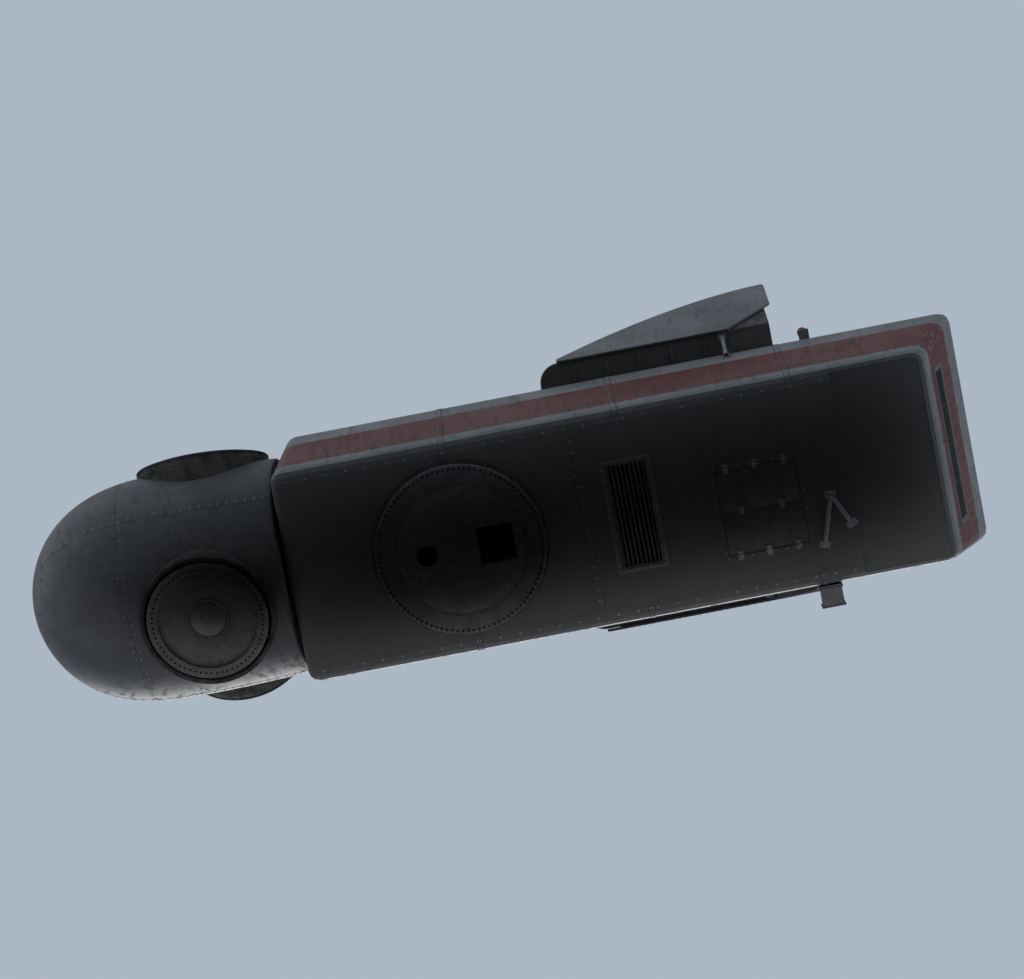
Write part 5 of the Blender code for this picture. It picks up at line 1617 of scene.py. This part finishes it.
def build_light(side, sign):
    steel, lens = bmesh.new(), bmesh.new()
    y = sign * (LIGHT_Y - 0.20)
    top = ROOF_Z + LIGHT_ARM[2]
    add_block(steel, (LIGHT_ARM[0], LIGHT_ARM[1], 0.010), Matrix.Translation((LIGHT_X, y, top - 0.005)), 0.003, 1)
    for dx in (-1, 1):
        place = Matrix.Translation((LIGHT_X + dx * (LIGHT_ARM[0] / 2 - 0.005), y, ROOF_Z + 0.026))
        add_block(steel, (0.010, LIGHT_ARM[1], 0.048), place, 0.003, 1)
        for dy in (-0.24, -0.12):
            spot = Vector((LIGHT_X + dx * 0.07, y + sign * dy, top))
            add_bolt(steel, upright(spot, (0.0, 0.0, 1.0)), 0.011, 0.010)
    axis = Matrix.Translation((LIGHT_X, sign * LIGHT_Y, ROOF_Z))
    foot = ((0.0, 0.335), (0.085, 0.335), (0.092, 0.30), (0.055, 0.275), (0.052, 0.10), (0.098, 0.078),
            (0.098, 0.052), (0.0, 0.052))
    add_turned(steel, foot, 36, axis, False)
    cap = ((0.0, 0.615), (0.06, 0.602), (0.088, 0.575), (0.088, 0.560), (0.0, 0.560))
    add_turned(steel, cap, 36, axis, False)
    for i in range(6):
        turn = Matrix.Rotation(math.radians(60.0 * i), 4, "Z")
        wire = [axis @ turn @ Vector(p) for p in ((0.088, 0.0, 0.32), (0.107, 0.0, 0.35), (0.107, 0.0, 0.54), (0.084, 0.0, 0.57))]
        add_bar(steel, wire, 0.0045, 6)
    for z in (0.39, 0.50):
        ring = [(0.107 + 0.004 * math.cos(a), z + 0.004 * math.sin(a)) for a in spread(0.0, 5.4, 7)]
        add_turned(steel, ring, 36, axis)
    piece(f"light_mount_{side}", steel, GALVANISED, "nacelle", [f"obstruction_light_{side}"])
    profile = [(0.0, 0.338), (0.086, 0.338)]
    for z in spread(0.350, 0.548, 12):
        profile += [(0.098, z - 0.006), (0.090, z + 0.006)]
    add_turned(lens, profile + [(0.084, 0.559), (0.0, 0.559)], 48, axis, False)
    piece(f"light_lens_{side}", lens, RED_LENS, "nacelle", sharp=25.0)


for side, sign in (("left", -1), ("right", 1)):
    build_light(side, sign)

# %% Wind vane, cup anemometer and lightning rod
SENSOR_Y = 0.80


def add_sensor_post(bm, y, height):
    axis = Matrix.Translation((BANK_X, y, BEAM_TOP))
    post = ((0.0, height), (0.018, height), (0.022, height - 0.12), (0.030, height - 0.13), (0.030, 0.05),
            (0.045, 0.036), (0.09, 0.030), (0.09, 0.002), (0.0, 0.002))
    add_turned(bm, post, 24, axis, False)
    for i in range(4):
        turn = Matrix.Rotation(math.radians(45.0 + 90.0 * i), 4, "Z")
        add_bolt(bm, axis @ turn @ Matrix.Translation((0.066, 0.0, 0.030)), 0.010, 0.009)
    return axis


def build_sensors():
    bm = bmesh.new()
    axis = add_sensor_post(bm, -SENSOR_Y, 0.42)
    head = ((0.0, 0.50), (0.02, 0.497), (0.028, 0.48), (0.028, 0.425), (0.0, 0.42))
    add_turned(bm, head, 24, axis, False)
    add_bar(bm, [axis @ Vector(p) for p in ((-0.095, 0.0, 0.46), (0.06, 0.0, 0.46))], 0.007, 8)
    add_turned(bm, ((0.0, -0.018), (0.016, -0.010), (0.016, 0.010), (0.0, 0.018)), 12,
               axis @ Matrix.Translation((-0.085, 0.0, 0.46)) @ Matrix.Rotation(math.radians(90.0), 4, "Y"), False)
    tail = [(0.02, -0.02), (0.095, -0.045), (0.10, 0.045), (0.02, 0.03)]
    stand = axis @ Matrix.Translation((0.0, 0.0, 0.46)) @ Matrix.Rotation(math.radians(90.0), 4, "X")
    add_outline_plate(bm, tail, 0.006, stand, 0.002, 1)
    piece("wind_vane", bm, GALVANISED, "nacelle", ["wind_vane_post"])
    bm = bmesh.new()
    axis = add_sensor_post(bm, SENSOR_Y, 0.44)
    add_turned(bm, ((0.0, 0.535), (0.018, 0.53), (0.024, 0.50), (0.024, 0.445), (0.0, 0.44)), 24, axis, False)
    for i in range(3):
        turn = axis @ Matrix.Rotation(math.radians(120.0 * i + 20.0), 4, "Z")
        add_bar(bm, [turn @ Vector(p) for p in ((0.02, 0.0, 0.505), (0.072, 0.0, 0.505))], 0.004, 6)
        angles = [math.radians(a) for a in spread(0.0, 90.0, 7)]
        bowl = [(0.034 * math.sin(a), 0.034 * math.cos(a)) for a in angles]
        bowl += [(0.031 * math.sin(a), 0.031 * math.cos(a)) for a in reversed(angles)]
        mouth = turn @ Matrix.Translation((0.060, 0.0, 0.505)) @ Matrix.Rotation(math.radians(90.0), 4, "X")
        add_turned(bm, bowl, 20, mouth, False)
    piece("cup_anemometer", bm, GALVANISED, "nacelle", ["anemometer_post"])


def build_rod():
    bm = bmesh.new()
    axis = Matrix.Translation((REAR_X + REAR_LEAN - 0.5, 0.0, ROOF_Z))
    rod = ((0.0, 1.25), (0.004, 1.235), (0.010, 1.20), (0.012, 0.75), (0.016, 0.74), (0.016, 0.70), (0.014, 0.69),
           (0.015, 0.20), (0.024, 0.18), (0.024, 0.05), (0.09, 0.042), (0.09, 0.0005), (0.0, 0.0005))
    add_turned(bm, rod, 20, axis, False)
    for i in range(4):
        turn = Matrix.Rotation(math.radians(45.0 + 90.0 * i), 4, "Z")
        add_bolt(bm, axis @ turn @ Matrix.Translation((0.062, 0.0, 0.043)), 0.010, 0.009)
    for i in range(3):
        turn = Matrix.Rotation(math.radians(120.0 * i), 4, "Z")
        legs = [axis @ turn @ Vector(p) for p in ((0.082, 0.0, 0.02), (0.016, 0.0, 0.34))]
        add_bar(bm, legs, 0.006, 8)
    piece("rod_with_foot", bm, GALVANISED, "nacelle", ["lightning_rod"])


build_sensors()
build_rod()

# %% [markdown]
# ## Under the floor
# A bent bar is bolted under the rear of the floor, and it is one of the few pale things
# in the dark underside. Round the tower ring lies the lip of the yaw seal, and the
# ring itself is the part that the tower bolts to, so its flange has a full circle of
# through holes. Its deck is a plate with raised bars for grip. The bars are real ridges,
# laid in a pattern of alternating directions and kept clear of both openings.

# %% Bracket and yaw seal
BRACKET_R = 0.045
BRACKET = ((7.33, 1.36), (7.62, 0.36), (7.95, 1.02))


def build_bracket():
    bm = bmesh.new()
    z = FLOOR_Z - 0.0003 - BRACKET_R
    path = rounded_path([(x, y, z) for x, y in BRACKET], 0.16, 8)
    add_bar(bm, path, BRACKET_R, 20)
    for (x, y), turn in zip(BRACKET, (-0.3, 0.0, 0.5)):
        add_end_plate(bm, (x, y, FLOOR_Z - 0.0003), (0.0, 0.0, -1.0), (0.22, 0.15), turn, 0.013)
    piece("underside_bracket", bm, PALE_ZINC, "nacelle", ["floor_bracket"])


def build_seal():
    bm = bmesh.new()
    top, low = FLOOR_Z - 0.0003, 0.24
    profile = ((1.82, top), (1.82, top - 0.012), (1.775, top - 0.020), (1.760, low + 0.035), (1.768, low + 0.024),
               (1.762, low + 0.004), (1.70, low), (1.665, low + 0.006), (1.66, low + 0.02), (1.668, top))
    add_turned(bm, profile, 144, Matrix.Identity(4))
    for i in range(40):
        turn = Matrix.Rotation(2 * math.pi * i / 40, 4, "Z")
        spot = turn @ Matrix.Translation((1.797, 0.0, top - 0.015)) @ Matrix.Rotation(math.pi, 4, "X")
        add_bolt(bm, spot, 0.011, 0.009)
    piece("yaw_seal_lip", bm, RUBBER, "nacelle", ["yaw_seal"])


build_bracket()
build_seal()

# %% Tower ring with its bolt circle
FLANGE_R, FLANGE_T, NECK_R, NECK_TOP, BORE_R, DECK_T = 1.75, 0.16, 1.62, 0.50, 1.30, 0.05
MANHOLE, MANHOLE_X, CABLE_R, CABLE_X = 0.76, 0.74, 0.22, -0.70
TOWER_BOLTS = 96


def near_opening(x, y, room):
    in_manhole = abs(x - MANHOLE_X) < MANHOLE / 2 + room and abs(y) < MANHOLE / 2 + room
    return in_manhole or math.hypot(x - CABLE_X, y) < CABLE_R + room


def build_tower_ring():
    """The flange's lower face with its holes, the neck, and a collar on top."""
    bm = bmesh.new()
    level = Matrix.Identity(4)
    low_face = 1.60
    add_holed_ring(bm, low_face, FLANGE_R - 0.006, 0.0, 0.10, TOWER_BOLTS, 0.027, level, 1.675)
    outside = ((FLANGE_R - 0.006, 0.0), (FLANGE_R, 0.006), (FLANGE_R, FLANGE_T - 0.006), (FLANGE_R - 0.006, FLANGE_T),
               (NECK_R + 0.012, FLANGE_T), (NECK_R, FLANGE_T + 0.014), (NECK_R, NECK_TOP - 0.01),
               (NECK_R - 0.01, NECK_TOP), (BORE_R + 0.01, NECK_TOP), (BORE_R, NECK_TOP - 0.01), (BORE_R, DECK_T + 0.0005))
    add_turned(bm, outside, 192, level, False)
    add_turned(bm, ((low_face, 0.0), (BORE_R + 0.055, 0.0), (BORE_R + 0.05, 0.006), (BORE_R + 0.012, 0.006),
                    (BORE_R + 0.006, 0.0), (BORE_R - 0.002, 0.0)), 192, level, False)
    bmesh.ops.remove_doubles(bm, verts=bm.verts, dist=0.0004)
    piece("tower_flange_ring", bm, CAST_IRON, "tower", ["tower_ring"])


build_tower_ring()


# %% Deck plate with grip bars, and the rims of its openings
def build_deck():
    """The deck is made from wedges that are cut away at the two openings."""
    bm = bmesh.new()
    grid = bmesh.ops.create_grid(bm, x_segments=1, y_segments=1, size=1.4)
    corner_radius = BORE_R - 0.002
    bmesh.ops.delete(bm, geom=grid["verts"], context="VERTS")
    outline = [(corner_radius * math.cos(a), corner_radius * math.sin(a)) for a in spread(0.0, 2 * math.pi, 145)[:-1]]
    square = [(MANHOLE_X + sx * MANHOLE / 2, sy * MANHOLE / 2) for sx, sy in ((-1, -1), (1, -1), (1, 1), (-1, 1))]
    circle = [(CABLE_X + CABLE_R * math.cos(a), CABLE_R * math.sin(a)) for a in spread(0.0, 2 * math.pi, 33)[:-1]]
    edges = []
    for loop in (outline, square, circle):
        verts = [bm.verts.new((x, y, 0.0)) for x, y in loop]
        edges += [bm.edges.new((verts[i], verts[(i + 1) % len(verts)])) for i in range(len(verts))]
    bmesh.ops.triangle_fill(bm, edges=edges, use_beauty=True)
    holes = [f for f in bm.faces if near_opening(*f.calc_center_median().xy, -0.002)]
    bmesh.ops.delete(bm, geom=holes, context="FACES")
    grown = bmesh.ops.extrude_face_region(bm, geom=list(bm.faces))["geom"]
    top = [v for v in grown if isinstance(v, bmesh.types.BMVert)]
    bmesh.ops.translate(bm, vec=(0.0, 0.0, DECK_T), verts=top)
    for i in range(-16, 17):
        for j in range(-16, 17):
            x, y = i * 0.078, j * 0.078
            if math.hypot(x, y) > corner_radius - 0.06 or near_opening(x, y, 0.07):
                continue
            turn = Matrix.Rotation(math.radians(45.0 if (i + j) % 2 else -45.0), 4, "Z")
            add_block(bm, (0.052, 0.012, 0.006), Matrix.Translation((x, y, DECK_T + 0.001)) @ turn, 0.002, 1)
    piece("tower_deck_plate", bm, GALVANISED, "tower")
    bm = bmesh.new()
    for sign in (-1, 1):
        long_side = Matrix.Translation((MANHOLE_X, sign * (MANHOLE / 2 - 0.006), 0.028))
        add_block(bm, (MANHOLE, 0.012, 0.055), long_side, 0.003, 1)
        short_side = Matrix.Translation((MANHOLE_X + sign * (MANHOLE / 2 - 0.006), 0.0, 0.028))
        add_block(bm, (0.012, MANHOLE - 0.026, 0.055), short_side, 0.003, 1)
    collar = ((CABLE_R, 0.001), (CABLE_R, 0.058), (CABLE_R + 0.016, 0.062), (CABLE_R + 0.016, 0.0515),
              (CABLE_R - 0.012, 0.0515), (CABLE_R - 0.012, 0.001))
    add_turned(bm, collar[:2] + ((CABLE_R - 0.012, 0.058), (CABLE_R - 0.012, 0.001)), 40,
               Matrix.Translation((CABLE_X, 0.0, 0.0)))
    piece("deck_opening_rims", bm, RUBBER, "tower")


build_deck()


# %% Nuts on the flange and round the neck
def build_tower_nuts():
    bm = bmesh.new()
    for i in range(TOWER_BOLTS):
        turn = Matrix.Rotation(2 * math.pi * (i + 0.5) / TOWER_BOLTS, 4, "Z")
        add_bolt(bm, turn @ Matrix.Translation((1.683, 0.0, FLANGE_T)), 0.030, 0.034)
        stud = turn @ Matrix.Translation((1.683, 0.0, FLANGE_T + 0.030))
        add_turned(bm, ((0.017, 0.0), (0.017, 0.030), (0.013, 0.036), (0.0, 0.036)), 10, stud, False)
    piece("tower_flange_nuts", bm, BOLT_STEEL, "tower")


build_tower_nuts()

# %% [markdown]
# ## Seams and bolts of the spinner
# Three strips run along the spinner between the blades, where its shells are joined, and a ring of bolts holds the
# nose to the barrel. The strips are swept over the same outline as the barrel. At the rear, a labyrinth ring on the
# housing's front wall closes the gap to the spinner.

# %% Strips along the spinner
def build_spinner_strips():
    bm, bolts = bmesh.new(), bmesh.new()
    for degrees in BLADE_ANGLES:
        angle = math.radians(degrees + 60.0)
        out = Vector((math.cos(angle), math.sin(angle), 0.0))
        side = Vector((-math.sin(angle), math.cos(angle), 0.0))
        stations = [REAR_S + 0.03 + (NOSE_S - REAR_S) * 0.965 * math.sin(math.radians(a)) for a in spread(0.0, 90.0, 40)]
        rings = []
        for s in stations:
            radius = spinner_radius(s)
            half = min(0.055, radius * 0.2)
            shape = ((-half, -0.003), (-half + 0.006, 0.006), (half - 0.006, 0.006), (half, -0.003))
            ring = []
            for across, lift in shape:
                flat = math.sqrt(max(radius**2 - across**2, 0.0)) + lift
                ring.append(bm.verts.new(ROTOR @ (out * flat + side * across + Vector((0.0, 0.0, s)))))
            rings.append(ring)
        for low, high in zip(rings, rings[1:]):
            for k in range(3):
                bm.faces.new((low[k], low[k + 1], high[k + 1], high[k]))
            bm.faces.new((low[3], low[0], high[0], high[3]))
        bm.faces.new(rings[0])
        bm.faces.new(list(reversed(rings[-1])))
        for s in spread(REAR_S + 0.15, 2.9, 24):
            slope = (spinner_radius(s + 0.01) - spinner_radius(s - 0.01)) / 0.02
            normal = (ROTOR.to_3x3() @ (out - Vector((0.0, 0.0, slope)))).normalized()
            for across in (-0.030, 0.030):
                spot = ROTOR @ (out * (spinner_radius(s) + 0.005) + side * across + Vector((0.0, 0.0, s)))
                add_bolt(bolts, upright(spot, normal), 0.012, 0.009)
    for i in range(72):
        angle = 2 * math.pi * (i + 0.5) / 72
        out = Vector((math.cos(angle), math.sin(angle), 0.0))
        for s in (JOIN_S - 0.06, JOIN_S + 0.064):
            spot = ROTOR @ (out * (spinner_radius(s) - 0.002) + Vector((0.0, 0.0, s)))
            add_bolt(bolts, upright(spot, ROTOR.to_3x3() @ out), 0.012, 0.009)
    piece("spinner_strips", bm, SPINNER_PAINT, "rotor")
    piece("spinner_bolts", bolts, BOLT_STEEL, "rotor")


build_spinner_strips()


# %% Labyrinth behind the spinner
WALL_S = REAR_S - 0.085


def build_labyrinth():
    bm = bmesh.new()
    front = WALL_S + 0.052
    profile = ((1.460, WALL_S + 0.0004), (1.460, front - 0.020), (1.440, front - 0.018), (1.438, front - 0.002),
               (1.400, front), (1.398, front - 0.022), (1.372, front - 0.022), (1.370, front), (1.322, front - 0.002),
               (1.320, WALL_S + 0.0004))
    add_turned(bm, profile, 144, ROTOR)
    piece("labyrinth_ring", bm, CAST_IRON, "nacelle", ["front_labyrinth"])


build_labyrinth()
